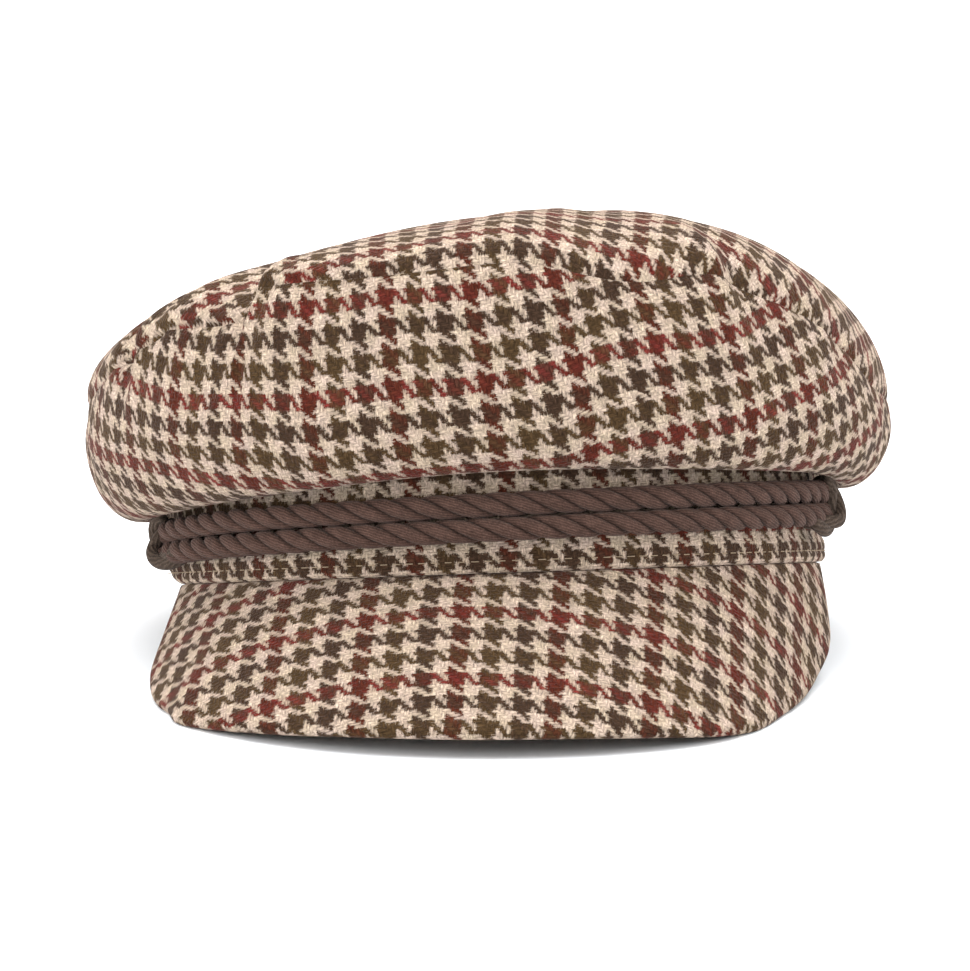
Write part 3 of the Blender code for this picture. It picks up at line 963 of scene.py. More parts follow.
@dataclass(frozen=True)
class CrownSide:
    """The soft panel between the band and the tip's seam.

    The section's handles are shares of its reach and of its height below and above the bulge. The ease, in
    yarns, is how far the check climbs on the panel's lower and upper part.
    """

    form: CapForm
    columns: int = 420
    steps: tuple[int, int, int] = (8, 18, 20)
    foot_out: float = 1 / 3
    sewn_out: float = 1 / 7
    sewn_drop: float = 1 / 3
    foot_push: float = 1 / 6
    foot_pull: float = 0.42
    bulge_push: float = 0.25
    bulge_pull: float = 0.45
    lip_push: float = 0.35
    lip_shares: tuple[float, ...] = (0.0, 0.27, 0.5, 0.7, 0.86, 1.0)
    smooth_foot: float = 4.0
    cut_radius: float = 0.3516
    cut_middle: float = -0.025
    slant: float = 0.081
    weave: Weave = Weave(check_wide=8.14, check_tall=7.58, red_column=-20.49, red_row=48.84)
    ease_from: float = 0.2
    ease_over: float = 0.35
    ease: Table = Table(
        ("at", "low", "high"),
        (
            (-180, 3.0, 0.0), (-90, 4.5, 0.5), (-67, 3.8, 0.5), (-58, 4.4, 1.0),
            (-45, 2.8, -0.6), (-35, 1.3, 0.0), (-25, -1.0, 0.0), (-14, 0.0, 0.8),
            (1, -0.5, -0.2), (9, -0.9, 0.0), (17, 1.7, 2.8), (21, 2.0, 2.9),
            (28, 1.8, 1.3), (36, 0.7, 0.0), (46, 1.3, 0.8), (62, 0.0, -0.6),
            (90, 0.0, 0.0), (140, 0.0, 0.0),
        ),
    )

    def profile(self, at: np.ndarray) -> ArrayPair:
        """Draws the panel's section from the band to the seam.

        Args:
            at: Angles in degrees.

        Returns:
            A section for each angle as out and up, and the levels of its points.
        """
        form = self.form
        seam, run, _ = form.seam_line(at)
        low = form.overhang(at)
        reach = form.crown.read("bulge", at) * form.crown_reach
        tall = seam[:, 1] - low
        flat = np.zeros_like(at)
        sewn = np.stack([flat, flat + form.band_height + form.touch_gap], -1)
        foot = np.stack([reach * self.foot_out, low], -1)
        bulge = np.stack([reach, low + form.crown.read("bulge_up", at) * tall], -1)
        lip = seam - run * form.seam_lip
        upper = lip[:, 1] - bulge[:, 1]
        aside, lower_way = np.stack([reach, flat], -1), np.stack([flat, tall], -1)
        upper_way = np.stack([flat, upper], -1)
        sewn_pull = sewn + np.stack([reach * self.sewn_out, (low - sewn[:, 1]) * self.sewn_drop], -1)
        bulge_push, bulge_pull = bulge - lower_way * self.bulge_push, bulge + upper_way * self.bulge_pull
        lip_push = lip - run * upper[:, None] * self.lip_push
        below, middle, above = self.steps
        parts = [
            (sewn - np.array([form.band_wall, 0.0]))[:, None, :],
            bezier(sewn, sewn_pull, foot - aside * self.foot_push, foot, below),
            bezier(foot, foot + aside * self.foot_pull, bulge_push, bulge, middle),
            bezier(bulge, bulge_pull, lip_push, lip, above),
            lip[:, None] + run[:, None] * form.seam_lip * np.array(self.lip_shares)[None, :, None],
        ]
        section = np.concatenate(parts, 1)
        level = np.clip((section[..., 1] - low[:, None]) / tall[:, None], 0, 1)
        section[..., 0] -= form.dent(at[:, None], level) * (section[..., 0] > 0)
        return section, level

    def flat_place(self, points: np.ndarray, at: np.ndarray) -> np.ndarray:
        """Lays the panel flat, measured up from its foot and round its bulge.

        Args:
            points: The panel's net.
            at: Its angles in degrees.

        Returns:
            Run round and run up of each point, in metres.
        """
        foot = 1 + self.steps[0]
        up = run_length(points, 1)
        middle = run_length(points[:, foot + self.steps[1]], 0)
        across = (middle - np.interp(0, at, middle))[:, None]
        return np.stack(np.broadcast_arrays(across, up - up[:, foot : foot + 1]), -1)

    def cloth_place(self, flat: np.ndarray, at: np.ndarray, level: np.ndarray) -> np.ndarray:
        """Args:
            flat: Run round and run up of each point.
            at: The net's angles in degrees.
            level: Levels of its points.

        Returns:
            Counts of yarns, across and up.
        """
        turn = (flat[..., 0] - self.cut_middle) / self.cut_radius
        radius = self.cut_radius + flat[..., 1]
        across = radius * np.sin(turn) + self.slant * flat[..., 1]
        cloth = self.weave.place(np.stack([across, radius * np.cos(turn) - self.cut_radius], -1))
        low, high = (self.ease.read(name, at)[:, None] for name in ("low", "high"))
        cloth[..., 1] -= low + (high - low) * np.clip((level - self.ease_from) / self.ease_over, 0, 1)
        return cloth

    def net(self) -> Grid:
        """Shapes the panel.

        Returns:
            Its net, with its place on the flat cloth.
        """
        form = self.form
        at = np.linspace(-180, 180, self.columns + 1)
        section, level = self.profile(at)
        points = form.around(at[:, None], section[..., 0], section[..., 1])
        flat = self.flat_place(points, at)
        depth = form.crumple(at[:, None], level) * np.clip(flat[..., 1] / (self.smooth_foot * MM), 0, 1)
        away = form.seam_away(at)[:, None, :]
        pull = form.seam_pull(at[:, None], flat[:, -1:, 1] - flat[..., 1])
        shaped = points - ways_out(points) * depth[..., None] - away * pull[..., None]
        inward = np.array(TURNED_IN)[None, :, None] * MM
        shaped = np.concatenate([shaped, shaped[:, -1:] - away * inward], 1)
        flat = np.concatenate([flat, flat[:, -1:] + inward * np.array([0, 1])], 1)
        level = np.concatenate([level, np.repeat(level[:, -1:], len(TURNED_IN), 1)], 1)
        return Grid(form.laid(shaped[:-1]), self.cloth_place(flat, at, level), True)

    def build(self, wool: bpy.types.Material) -> None:
        """Makes the panel and puts it in the place of its solid.

        Args:
            wool: The cloth's material.
        """
        piece = dress("crown_side_cloth", self.net().mesh("crown_side_cloth"), wool)
        add_wall(piece, self.form.cloth)
        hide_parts("crown_side")


@dataclass(frozen=True)
class CrownTip:
    """The domed oval panel on top."""

    form: CapForm
    columns: int = 420
    rows: int = 46
    lip_shares: tuple[float, ...] = (0.0, 0.14, 0.3, 0.5, 0.73)
    smooth_top: float = 25.0
    run_from: int = 2
    ease_step: int = 5
    ease_up: int = 4
    ease_rounds: int = 900
    held_front: float = 32.0
    free_top: int = 3
    weave: Weave = Weave(check_wide=7.5, check_tall=8.2, red_column=1.56, red_row=-90.8, slant=1.5)

    def eased(self, points: np.ndarray, flat: np.ndarray) -> np.ndarray:
        """Lays the dome flat as cloth would go: every thread as near its own length as it can be.

        Args:
            points: The dome's net, round and then up to the top, its first column once more at the end.
            flat: A first guess at each point's place on the cloth.

        Returns:
            The places on the cloth, with the front left where the guess had it.
        """
        rounds = np.arange(0, self.columns, self.ease_step)
        tall = points.shape[1]
        ups = np.unique(np.r_[0, np.arange(len(self.lip_shares), tall, self.ease_up), tall - 1])
        dome, first = points[rounds][:, ups], flat[rounds][:, ups]
        cloth = first.copy()
        ties = []
        for right, up in ((1, 0), (0, 1), (1, 1), (-1, 1), (2, 0), (0, 2)):
            start, end = slice(None, len(ups) - up), slice(up, None)
            threads = np.roll(dome, -right, 0)[:, end] - dome[:, start]
            ties.append((right, start, end, np.linalg.norm(threads, axis=-1, keepdims=True)))
        for _ in range(self.ease_rounds):
            move, share = np.zeros_like(cloth), np.zeros((*cloth.shape[:2], 1))
            for right, start, end, wanted in ties:
                there = np.roll(cloth, -right, 0)[:, end] - cloth[:, start]
                long = np.maximum(np.linalg.norm(there, axis=-1, keepdims=True), 1e-9)
                pull = there * ((long - wanted) / long / 2)
                move[:, start] += pull
                move[:, end] -= np.roll(pull, right, 0)
                share[:, start] += 1
                share[:, end] += 1
            cloth = cloth + move / share
            cloth[:, -1] = cloth[:, -1].mean(0)
        front = np.abs(rounds / self.columns * 360 - 180) < self.held_front
        here, there = (net[front][:, : -self.free_top].reshape(-1, 2) for net in (cloth, first))
        left, _, right = np.linalg.svd((here - here.mean(0)).T @ (there - there.mean(0)))
        shift = (cloth - here.mean(0)) @ (left @ right) + there.mean(0) - first
        places, every = np.r_[rounds, self.columns], np.arange(self.columns + 1)
        shift = np.concatenate([shift, shift[:1]])
        shift = np.apply_along_axis(lambda line: np.interp(every, places, line), 0, shift)
        return flat + np.apply_along_axis(lambda line: np.interp(np.arange(tall), ups, line), 1, shift)

    def dome(self, at: np.ndarray) -> np.ndarray:
        """Draws the panel from its seam to the top, before it is crumpled.

        Args:
            at: Angles in degrees.

        Returns:
            The net's points.
        """
        form = self.form
        seam, run, _ = form.seam_line(at)
        seam[:, 0] -= form.dent(at, np.ones_like(at))
        height = form.band_height + form.side_rise + form.dome_rise
        top = np.array([form.dome_right, -form.dome_forward, height])
        lip = run * (form.touch_gap + form.seam_lip)
        spots = seam[:, None] + lip[:, None] * np.array([*self.lip_shares, 1.0])[None, :, None]
        edge = form.around(at[:, None], spots[..., 0], spots[..., 1])
        rim = edge[:, -1]
        rise = height - rim[:, 2:]
        level_way = np.concatenate([rim[:, :2], np.full_like(rise, height)], -1) - top
        run_on = unit(rim - edge[:, self.run_from])
        pull = rim + run_on * rise * form.crown.read("shoulder", at)[:, None]
        push = top + level_way * form.crown.read("top", at)[:, None]
        tops = np.broadcast_to(top, rim.shape)
        return np.concatenate([edge[:, :-1], bezier(rim, pull, push, tops, self.rows), tops[:, None, :]], 1)

    def net(self) -> Grid:
        """Shapes the panel.

        Returns:
            Its net, with its place on the flat cloth.
        """
        form = self.form
        at = np.linspace(-180, 180, self.columns + 1)
        points = self.dome(at)
        from_seam = run_length(points, 1)
        from_top = from_seam[:, -1:] - from_seam
        way = unit(points[:, len(self.lip_shares), :2] - points[0, -1, :2])[:, None, :]
        flat = self.eased(points, from_top[..., None] * way)
        level = 1 + np.clip(from_seam / from_seam[:, -1:], 0, 1)
        depth = form.crumple(at[:, None], level) * np.clip(from_top / (self.smooth_top * MM), 0, 1)
        away = form.seam_away(at)[:, None, :]
        pull = form.seam_pull(at[:, None], from_seam)
        shaped = points - ways_out(points) * depth[..., None] - away * pull[..., None]
        inward = np.array(TURNED_IN[::-1])[None, :, None] * MM
        shaped = np.concatenate([shaped[:, :1] - away * inward, shaped], 1)
        flat = np.concatenate([flat[:, :1] + way * inward, flat], 1)
        return Grid(form.laid(shaped[:-1]), self.weave.place(flat), True)

    def build(self, wool: bpy.types.Material) -> None:
        """Makes the panel and puts it in the place of its solid.

        Args:
            wool: The cloth's material.
        """
        piece = dress("crown_tip_cloth", self.net().mesh("crown_tip_cloth"), wool)
        add_wall(piece, self.form.cloth)
        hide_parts("crown_tip")


@dataclass(frozen=True)
class Band:
    """The straight headband with its turned and stitched hem, its own sizes in millimetres and degrees."""

    form: CapForm
    columns: int = 400
    hem_start: float = 1.0
    outer_skin: float = -1.0
    wave: float = 0.12
    wave_tall: float = 4.0
    wave_turns: int = 23
    sway: float = 2.0
    sway_turns: int = 5
    stitch_up: float = 3.0
    stitch_out: float = 0.72
    stitch_lift: float = 0.24
    stitch_bow: float = 2.0
    stitch_long: float = 2.3
    stitch_step: float = 3.3
    stitch_thick: float = 0.15
    stitch_run: float = 0.35
    stitch_sides: int = 6
    stitch_points: int = 7
    curl: float = 4.2
    curl_at: float = -93.0
    curl_wide: float = 15.0
    curl_tall: float = 6.0
    weave: Weave = Weave(check_wide=7.9, check_tall=7.4, red_column=3.6, red_row=10.8)

    def section(self) -> np.ndarray:
        """Draws the band's wall, round from the hem's foot.

        Returns:
            Points out and up, in millimetres.
        """
        wall = self.form.band_wall / MM
        tall = self.form.band_height / MM
        hem = [(-0.9, 0.0), (-0.2, 0.05), (0.3, 0.35), (0.72, 0.85), (0.98, 1.55), (0.95, 2.3)]
        hem += [(0.68, self.stitch_up), (0.92, 3.7), (0.9, 4.8), (0.62, 5.8), (0.2, 6.6), (0.02, 7.4)]
        outer = [(0.0, up) for up in np.linspace(8.5, tall, 10)]
        inner = [(-wall, up) for up in np.linspace(tall, 2.0, 10)]
        return np.array([*hem, *outer, *inner, (-wall, 1.0), (-2.1, 0.3), (-1.5, 0.05), (-0.9, 0.0)])

    def curled_in(self, at: np.ndarray, up: np.ndarray) -> np.ndarray:
        """How far the hem's foot curls in at the viewer's left, in millimetres."""
        low = np.clip(1 - up / self.curl_tall, 0, 1)
        return self.curl * np.exp(-(((at - self.curl_at) / self.curl_wide) ** 2)) * low**2

    def net(self) -> Grid:
        """Shapes the band.

        Returns:
            Its net, with its place on the flat cloth.
        """
        at = np.linspace(-180, 180, self.columns + 1)
        turn = np.radians(at)[:, None]
        across, up = self.section().T
        soft = np.exp(-((up / self.wave_tall) ** 2)) * (across > self.outer_skin)
        wave = np.sin(turn * self.wave_turns + np.sin(turn * self.sway_turns) * self.sway)
        out = across + self.wave * wave * soft - self.curled_in(at[:, None], up)
        points = self.form.around(at[:, None], out * MM, up * MM)
        round_run = run_length(self.form.edge(at), 0)
        round_run -= np.interp(0, at, round_run)
        run_up = np.r_[0, np.cumsum(np.hypot(np.diff(across), np.diff(up)))] - self.hem_start
        cloth = self.weave.place(np.stack(np.broadcast_arrays(round_run[:, None], run_up * MM), -1))
        return Grid(self.form.laid(points[:-1]), cloth, True)

    def stitches(self) -> np.ndarray:
        """Lays a row of short stitches that sink into the hem at both ends.

        Returns:
            Their points: stitch, place round the thread, place along it and coordinate.
        """
        turn = np.linspace(0, 360, 721)
        girth = run_length(self.form.edge(turn), 0)
        count = round(girth[-1] / MM / self.stitch_step)
        middle = np.interp((np.arange(count) + 0.5) / count * girth[-1], girth, turn)[:, None, None]
        along = np.linspace(-0.5, 0.5, self.stitch_points)
        spin = (np.arange(self.stitch_sides + 1) % self.stitch_sides * FULL / self.stitch_sides)[:, None]
        lift = self.stitch_lift - self.stitch_bow * along**2
        up = self.stitch_up + self.stitch_thick * np.sin(spin)
        out = self.stitch_out + lift + self.stitch_thick * np.cos(spin) - self.curled_in(middle, up)
        at = middle + along * 360 / count * self.stitch_long / self.stitch_step
        return self.form.laid(self.form.around(at, out * MM, up * MM))

    def stitch_mesh(self) -> bpy.types.Mesh:
        """Makes one mesh of all the stitches.

        Returns:
            The mesh, mapped as a cord is.
        """
        blocks = self.stitches()
        count, around, along = blocks.shape[:3]
        ring, step = cells(around - 1, along - 1)
        here = ring * along + step
        quads = np.stack([here, here + 1, here + along + 1, here + along], -1)
        faces = (quads[None] + (np.arange(count) * around * along)[:, None, None]).reshape(-1, 4)
        mesh = bpy.data.meshes.new("hem_stitches")
        mesh.from_pydata(blocks.reshape(-1, 3).tolist(), [], faces.tolist())
        layer = mesh.uv_layers.new(name=CLOTH_MAP)
        turn, run = faces % (around * along) // along / (around - 1), faces % along * self.stitch_run
        flat = np.stack([turn, run], -1)
        layer.uv.foreach_set("vector", flat.astype(np.float32).ravel())
        mesh.shade_smooth()
        return mesh

    def build(self, wool: bpy.types.Material, thread: bpy.types.Material) -> None:
        """Makes the band and its stitches, in the place of the band's solid.

        Args:
            wool: The cloth's material.
            thread: The stitches' material.
        """
        piece = dress("band_cloth", self.net().mesh("band_cloth"), wool)
        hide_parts("band")
        dress("hem_stitches", self.stitch_mesh(), thread)


@dataclass(frozen=True)
class Peak:
    """The cloth-covered peak under the front of the band."""

    form: CapForm
    length: float = 0.055
    thick: float = 0.0032
    arch: float = 0.0015
    tuck_up: float = 0.0004
    thin_end: float = 0.35
    thin_run: float = 0.009
    roll_share: float = 0.45
    columns: int = 260
    rows: int = 36
    rim_steps: int = 10
    weave: Weave = Weave(check_wide=7.94, check_tall=7.63, red_column=11.19, red_row=-14.76, slant=7.4)
    rulings: Table = Table(
        ("at", "length", "slope", "flare"),
        (
            (-72, 0.04, 60, 0.8),
            (-68, 0.28, 58, 0.8),
            (-62, 0.54, 52, 0.7),
            (-52, 0.765, 45.5, 0.6),
            (-38, 0.88, 44, 1.0),
            (-20, 0.95, 43.7, 1.0),
            (0, 0.985, 44.8, 1.0),
            (22, 0.96, 49, 1.0),
            (33, 0.90, 53.5, 0.8),
            (46, 0.75, 61, 0.6),
            (60, 0.56, 70, 0.6),
            (70, 0.37, 74, 0.9),
            (76, 0.18, 76, 1.0),
            (79, 0.04, 76, 1.0),
        ),
        False,
    )

    def flat_pattern(self, roots: np.ndarray, ends: np.ndarray) -> ArrayPair:
        """Unrolls the peak's rulings onto a plane, ruling by ruling from the front.

        Args:
            roots: The rulings' sewn ends.
            ends: The rulings' outer ends.

        Returns:
            Both ends of each ruling on the plane.
        """
        flat_roots, flat_ends = np.zeros((len(roots), 2)), np.zeros((len(roots), 2))
        start = len(roots) // 2
        flat_ends[start] = (0, -np.linalg.norm(ends[start] - roots[start]))
        for step, stop in ((1, len(roots)), (-1, -1)):
            for here in range(start + step, stop, step):
                before = here - step
                base, spots = (flat_roots[before], flat_ends[before]), (roots[before], ends[before])
                flat_roots[here] = self.third_corner(base, roots[here], spots, step)
                base, spots = (flat_roots[here], flat_ends[before]), (roots[here], ends[before])
                flat_ends[here] = self.third_corner(base, ends[here], spots, step)
        return flat_roots, flat_ends

    def third_corner(self, base: ArrayPair, corner: np.ndarray, spots: ArrayPair, hand: int) -> np.ndarray:
        """Lays a triangle's corner on the plane beside its base.

        Args:
            base: The base's ends on the plane.
            corner: The corner in space.
            spots: The base's ends in space.
            hand: 1 to lay it to the right of a base that points down, -1 to the left.

        Returns:
            The corner on the plane.
        """
        run = base[1] - base[0]
        long = np.linalg.norm(run)
        run = run / long
        to_first, to_second = (np.linalg.norm(corner - spot) for spot in spots)
        along = (to_first**2 - to_second**2 + long**2) / (2 * long)
        aside = math.sqrt(max(to_first**2 - along**2, 0))
        return base[0] + run * along + np.array([-run[1], run[0]]) * aside * hand

    def net(self) -> Grid:
        """Shapes the peak: the outer face from under the band, the rolled rim and the lower face.

        Returns:
            Its net, with its place on the flat cloth.
        """
        form = self.form
        at = np.linspace(self.rulings.rows[0][0], self.rulings.rows[-1][0], self.columns + 1)
        length, slope, flare = (self.rulings.read(name, at)[:, None] for name in self.rulings.names[1:])
        slope, long = np.radians(slope), length * self.length
        ahead, down = np.array([0.0, -1.0, 0.0]), np.array([0.0, 0.0, -1.0])
        level = unit(ahead * (1 - flare) + (form.around(at, 1.0, 0.0) - form.edge(at)) * flare)
        way = level * np.cos(slope) + down * np.sin(slope)
        proud = level * np.sin(slope) - down * np.cos(slope)
        root = form.around(at, 0.0, -form.touch_gap)
        thick = self.thick * np.clip(self.thin_end + long / self.thin_run, 0, 1)
        roll = np.minimum(thick / 2, long * self.roll_share)
        flat = long - roll
        share = np.linspace(0, 1, self.rows)[None, :]
        back = share[:, ::-1][:, 1:]
        bow = 4 * share * (1 - share) * self.arch * length
        turn = np.radians(np.linspace(90, -90, self.rim_steps)[1:])
        run = np.concatenate([flat * share, flat + roll * np.cos(turn), flat * back], 1)
        lift = np.concatenate([bow, thick / 2 * (np.sin(turn) - 1), bow[:, ::-1][:, 1:] - thick], 1)
        points = root[:, None] + way[:, None] * run[..., None] + proud[:, None] * lift[..., None]
        tucked = form.around(at, -form.band_wall, self.tuck_up)
        reach = [0 * flat - form.band_wall, flat * share, flat + roll * (math.pi / 2 - turn)]
        reach = np.concatenate([*reach, flat * (2 - back) + 2 * thick], 1)
        flat_root, flat_end = self.flat_pattern(root, root + way * long)
        cloth = flat_root[:, None, :] + unit(flat_end - flat_root)[:, None, :] * reach[..., None]
        points = np.concatenate([tucked[:, None], points], 1)
        return Grid(form.laid(points), self.weave.place(cloth), False)

    def build(self, wool: bpy.types.Material) -> None:
        """Makes the peak and puts it in the place of its solid.

        Args:
            wool: The cloth's material.
        """
        piece = dress("peak_cloth", self.net().mesh("peak_cloth"), wool)
        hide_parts("peak")


@dataclass(frozen=True)
class Route:
    """The middle line of a cord, with the way out of the band at each point."""

    points: np.ndarray
    outward: np.ndarray

    @property
    def walked(self) -> np.ndarray:
        """Length walked from the first point."""
        return run_length(self.points, 0)

    def ring(self, spin: np.ndarray) -> np.ndarray:
        """Points round the line, at a distance of one.

        Args:
            spin: Angles from the way out, in radians: one row for all points, or a row for each.

        Returns:
            Vectors square to the line, by point and angle.
        """
        along = unit(np.gradient(self.points, axis=0))
        across = unit(self.outward - along * (self.outward * along).sum(-1, keepdims=True))
        up = np.cross(across, along)
        return across[:, None, :] * np.cos(spin)[..., None] + up[:, None, :] * np.sin(spin)[..., None]

    def rounding(self, reach: float) -> np.ndarray:
        """Rounds off a cord's ends.

        Args:
            reach: Length over which an end grows to the cord's full thickness.

        Returns:
            The share of that thickness at each point.
        """
        from_end = np.clip(np.minimum(self.walked, self.walked[-1] - self.walked) / reach, 0, 1)
        return np.maximum(np.sqrt(1 - (1 - from_end) ** 2), CORD_TIP)


@dataclass(frozen=True)
class Rope:
    """One pass of the laid rope over the band's front: full strands that meet in narrow creases."""

    form: CapForm
    side: Pass
    short_left: float
    short_right: float
    strands: int = 3
    lay: float = 0.023
    start_turn: float = 0.13
    steps: int = 700
    sides: int = 60
    swell: float = 1.05
    crease: float = 0.34
    crease_sharp: float = 3.2
    tremble: float = 0.012
    tremble_rate: float = 900.0
    rounded: float = 0.0012
    drawn: float = 0.13
    drawn_late: int = 8

    def route(self) -> Route:
        """Draws the pass.

        Returns:
            Its middle line.
        """
        form = self.form
        at = np.linspace(self.short_left - form.rope_end, form.rope_end - self.short_right, self.steps)
        gap = (form.rope_thick + form.touch_gap) * (1 - self.drawn * (at / form.rope_end) ** self.drawn_late)
        up = form.rope_middle(at) + self.side.value * gap / 2
        points = form.around(at, form.rope_thick / 2 + form.touch_gap, up)
        return Route(points, unit(form.around(at, 1.0, up) - form.around(at, 0.0, up)))

    def net(self) -> Grid:
        """Winds the strands round each other.

        Returns:
            The net of the whole pass, mapped 0 to 1 round it and in millimetres along it.
        """
        route = self.route()
        walked = route.walked[:, None]
        spin = np.linspace(0, FULL, self.sides + 1)[None, :]
        round_rope = spin - FULL * (self.start_turn * self.side.value - walked / self.lay)
        off = np.abs(round_rope * self.strands / FULL % 1 - 0.5) * 2
        tremble = self.tremble * np.sin(walked * self.tremble_rate)
        swell = self.swell - self.crease * off**self.crease_sharp - tremble
        radius = self.form.rope_thick / 2 * swell * route.rounding(self.rounded)[:, None]
        points = route.points[:, None, :] + route.ring(spin) * radius[..., None]
        cloth = np.stack(np.broadcast_arrays(round_rope / FULL, walked / MM), -1)
        return Grid(self.form.laid(points), cloth, False)

    def build(self, yarn: bpy.types.Material) -> None:
        """Makes the pass and puts it in the place of its solid.

        Args:
            yarn: The rope's material.
        """
        name = f"rope_{self.side.name.lower()}"
        piece = dress(name + "_cord", self.net().mesh(name + "_cord"), yarn)
        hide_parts(name)


@dataclass(frozen=True)
class SideLoop:
    """The dark twisted cord that holds the rope's ends at one side.

    A row of the route is degrees past the rope's end, the distance out in cord thicknesses, and the share of
    the way up from the loop's foot to the crown.
    """

    form: CapForm
    hand: Hand
    thick: float = 0.0042
    foot_share: float = 0.57
    hem_proud: float = 0.0008
    hem_share: float = 0.25
    strands: int = 2
    strand_thick: float = 0.0036
    strand_off: float = 0.0013
    spread: Pair = (1.4, 0.7)
    lay: float = 0.027
    sides: int = 24
    steps: int = 12
    rounded: float = 0.0016
    route_rows: tuple[tuple[float, float, float], ...] = (
        (-1.8, 0.60, 1.24), (-0.8, 1.00, 1.10), (0.0, 1.28, 0.88),
        (0.3, 1.38, 0.60), (0.1, 1.42, 0.34), (-1.0, 1.34, 0.14),
        (-2.8, 1.14, 0.05), (-5.2, 0.90, 0.07), (-8.2, 0.60, 0.18),
    )

    def route(self) -> Route:
        """Draws the loop.

        Returns:
            The middle line of its cord.
        """
        form = self.form
        past, out, up = np.array(self.route_rows).T
        at = self.hand.value * (form.rope_end + past)
        top = form.overhang(at).min() - self.thick / 2 - form.touch_gap
        foot = form.rope_middle(np.array([self.hand.value * form.rope_end])) * self.foot_share
        out = out * self.thick + self.hem_proud * np.clip(1 - up / self.hem_share, 0, 1)
        points = form.around(at, out, foot + (top - foot) * up)
        ends = np.concatenate([2 * points[:1] - points[1:2], points, 2 * points[-1:] - points[-2:-1]])
        before, start, end, after = ends[:-3], ends[1:-2], ends[2:-1], ends[3:]
        curve = bezier(start, start + (end - before) / 6, end - (after - start) / 6, end, self.steps)
        curve = np.concatenate([curve.reshape(-1, 3), points[-1:]])
        return Route(curve, unit(curve * np.array([1.0, 1.0, 0.0])))

    def strand(self, route: Route, which: int) -> Grid:
        """Winds one strand of the cord.

        Args:
            route: The cord's middle line.
            which: The strand's number.

        Returns:
            The strand's net, mapped 0 to 1 round it and in millimetres along it.
        """
        walked = route.walked[:, None]
        off = self.strand_off * np.linspace(*self.spread, len(walked))[:, None]
        centre = route.points + route.ring(FULL * (which / self.strands - walked / self.lay))[:, 0] * off
        spin = np.linspace(0, FULL, self.sides + 1)[None, :]
        radius = self.strand_thick / 2 * route.rounding(self.rounded)
        points = centre[:, None, :] + route.ring(spin) * radius[:, None, None]
        cloth = np.stack(np.broadcast_arrays(spin / FULL, walked / MM), -1)
        return Grid(self.form.laid(points), cloth, False)

    def mesh(self, name: str) -> bpy.types.Mesh:
        """Makes one mesh of the cord's strands.

        Args:
            name: The mesh's name.

        Returns:
            The mesh.
        """
        route = self.route()
        work = bmesh.new()
        for which in range(self.strands):
            strand = self.strand(route, which).mesh("strand")
            work.from_mesh(strand)
            bpy.data.meshes.remove(strand)
        whole = bpy.data.meshes.new(name)
        work.to_mesh(whole)
        work.free()
        whole.shade_smooth()
        return whole

    def build(self, cord: bpy.types.Material) -> None:
        """Makes the loop and puts it in the place of its solid.

        Args:
            cord: The cord's material.
        """
        name = f"side_loop_{self.hand.name.lower()}"
        piece = dress(name + "_cord", self.mesh(name + "_cord"), cord)
        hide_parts(name)


def looking(place: Vector, target: Vector, thing: bpy.types.ID, name: str) -> bpy.types.Object:
    """Puts a light or a camera in the scene, turned to what it looks at.

    Args:
        place: Where it stands.
        target: Where it looks.
        thing: The light's or the camera's own data.
        name: Its name.

    Returns:
        The object.
    """
    holder = bpy.data.objects.new(name, thing)
    holder.location = place
    holder.rotation_euler = (target - place).to_track_quat("-Z", "Y").to_euler()
    bpy.context.scene.collection.objects.link(holder)
    return holder


@dataclass(frozen=True)
class Lamp:
    """A square soft light that looks at the cap."""

    name: str
    place: tuple[float, float, float]
    size: float
    power: float
    colour: Colour
    target: tuple[float, float, float] = (0.0, 0.0, 0.06)

    def hang(self) -> None:
        """Hangs the light."""
        lamp = bpy.data.lights.new(self.name, "AREA")
        lamp.shape = "SQUARE"
        lamp.size = self.size
        lamp.energy = self.power
        lamp.color = self.colour
        looking(Vector(self.place), Vector(self.target), lamp, self.name)


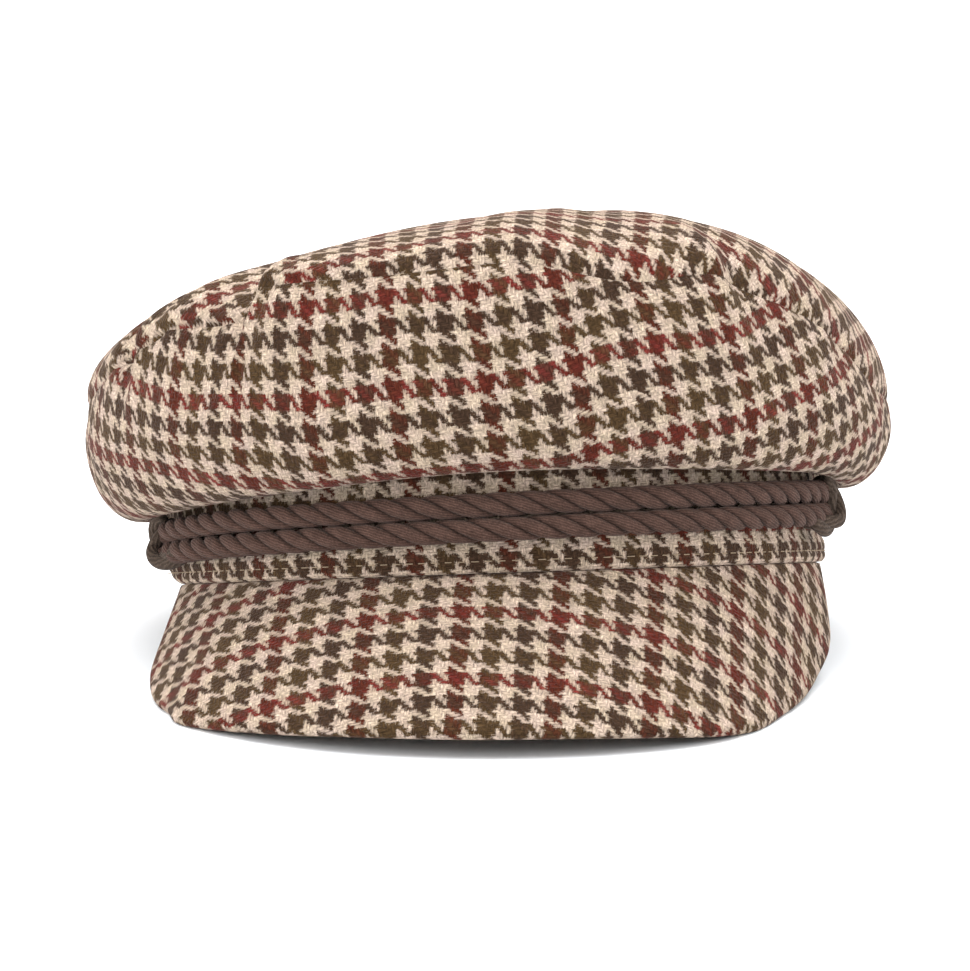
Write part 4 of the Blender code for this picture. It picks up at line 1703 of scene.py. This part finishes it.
@dataclass(frozen=True)
class Studio:
    """A pale floor, the room's even light, soft lamps and the camera at the photograph's angle."""

    form: CapForm
    distance: float = 1.5
    elevation: float = 10.7
    lens: float = 209.9
    sensor: float = 36.0
    far_clip: float = 50.0
    aim_right: float = -0.0032
    aim_up: float = 0.0232
    floor_size: float = 14.0
    room_light: float = 0.34
    lamps: tuple[Lamp, ...] = (
        Lamp("overhead_light", (0.0, 0.55, 2.6), 4.2, 220.0, (1.0, 1.0, 1.0)),
        Lamp("key_light", (-0.7, -2.1, 0.8), 1.0, 21.0, (1.0, 0.985, 0.965)),
        Lamp("left_light", (-2.2, -0.7, 1.1), 1.2, 32.0, (1.0, 0.99, 0.98)),
        Lamp("right_light", (2.2, -0.6, 1.1), 1.2, 36.0, (1.0, 0.99, 0.98)),
    )

    def floor(self) -> None:
        """Lays the floor."""
        half = self.floor_size / 2
        mesh = bpy.data.meshes.new("studio_floor")
        corners = [(-half, -half, 0), (half, -half, 0), (half, half, 0), (-half, half, 0)]
        mesh.from_pydata(corners, [], [(0, 1, 2, 3)])
        mesh.materials.append(PaleFloor().material())
        ground = bpy.data.objects.new("studio_floor", mesh)
        bpy.context.scene.collection.objects.link(ground)

    def room(self) -> None:
        """Sets the room's even light."""
        world = bpy.data.worlds.new("studio_room")
        world.use_nodes = True
        background = world.node_tree.nodes["Background"]
        background.inputs[0].default_value = (1, 1, 1, 1)
        background.inputs[1].default_value = self.room_light
        bpy.context.scene.world = world

    def camera(self) -> None:
        """Sets the camera in front, a little above, far enough for the photograph's flat view."""
        lens = bpy.data.cameras.new("front_camera")
        lens.sensor_width = self.sensor
        lens.lens = self.lens
        lens.clip_end = self.far_clip
        angle = math.radians(self.elevation)
        origin = Vector(self.form.place)
        place = origin + Vector((0, -math.cos(angle), math.sin(angle))) * self.distance
        aim = Vector((self.aim_right, math.sin(angle) * self.aim_up, math.cos(angle) * self.aim_up))
        bpy.context.scene.camera = looking(place, origin + aim, lens, "front_camera")

    def build(self) -> None:
        """Sets the whole studio, with colours shown as they are lit."""
        self.floor()
        self.room()
        for lamp in self.lamps:
            lamp.hang()
        self.camera()
        bpy.context.scene.view_settings.view_transform = "Standard"


def main() -> None:
    """Builds the pieces in order, then the studio."""
    logging.basicConfig(level=logging.INFO, format="%(message)s")
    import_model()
    form = CapForm()
    wool = HoundstoothWool().material()
    rope = LAID_ROPE.material()
    cord = DARK_CORD.material()
    thread = HEM_THREAD.material()
    CrownSide(form).build(wool)
    CrownTip(form).build(wool)
    Band(form).build(wool, thread)
    Peak(form).build(wool)
    Rope(form, Pass.UPPER, short_left=-0.4, short_right=1.2).build(rope)
    Rope(form, Pass.LOWER, short_left=0.4, short_right=-0.2).build(rope)
    for hand in Hand:
        SideLoop(form, hand).build(cord)
    Studio(form).build()


if __name__ == "__main__":
    main()
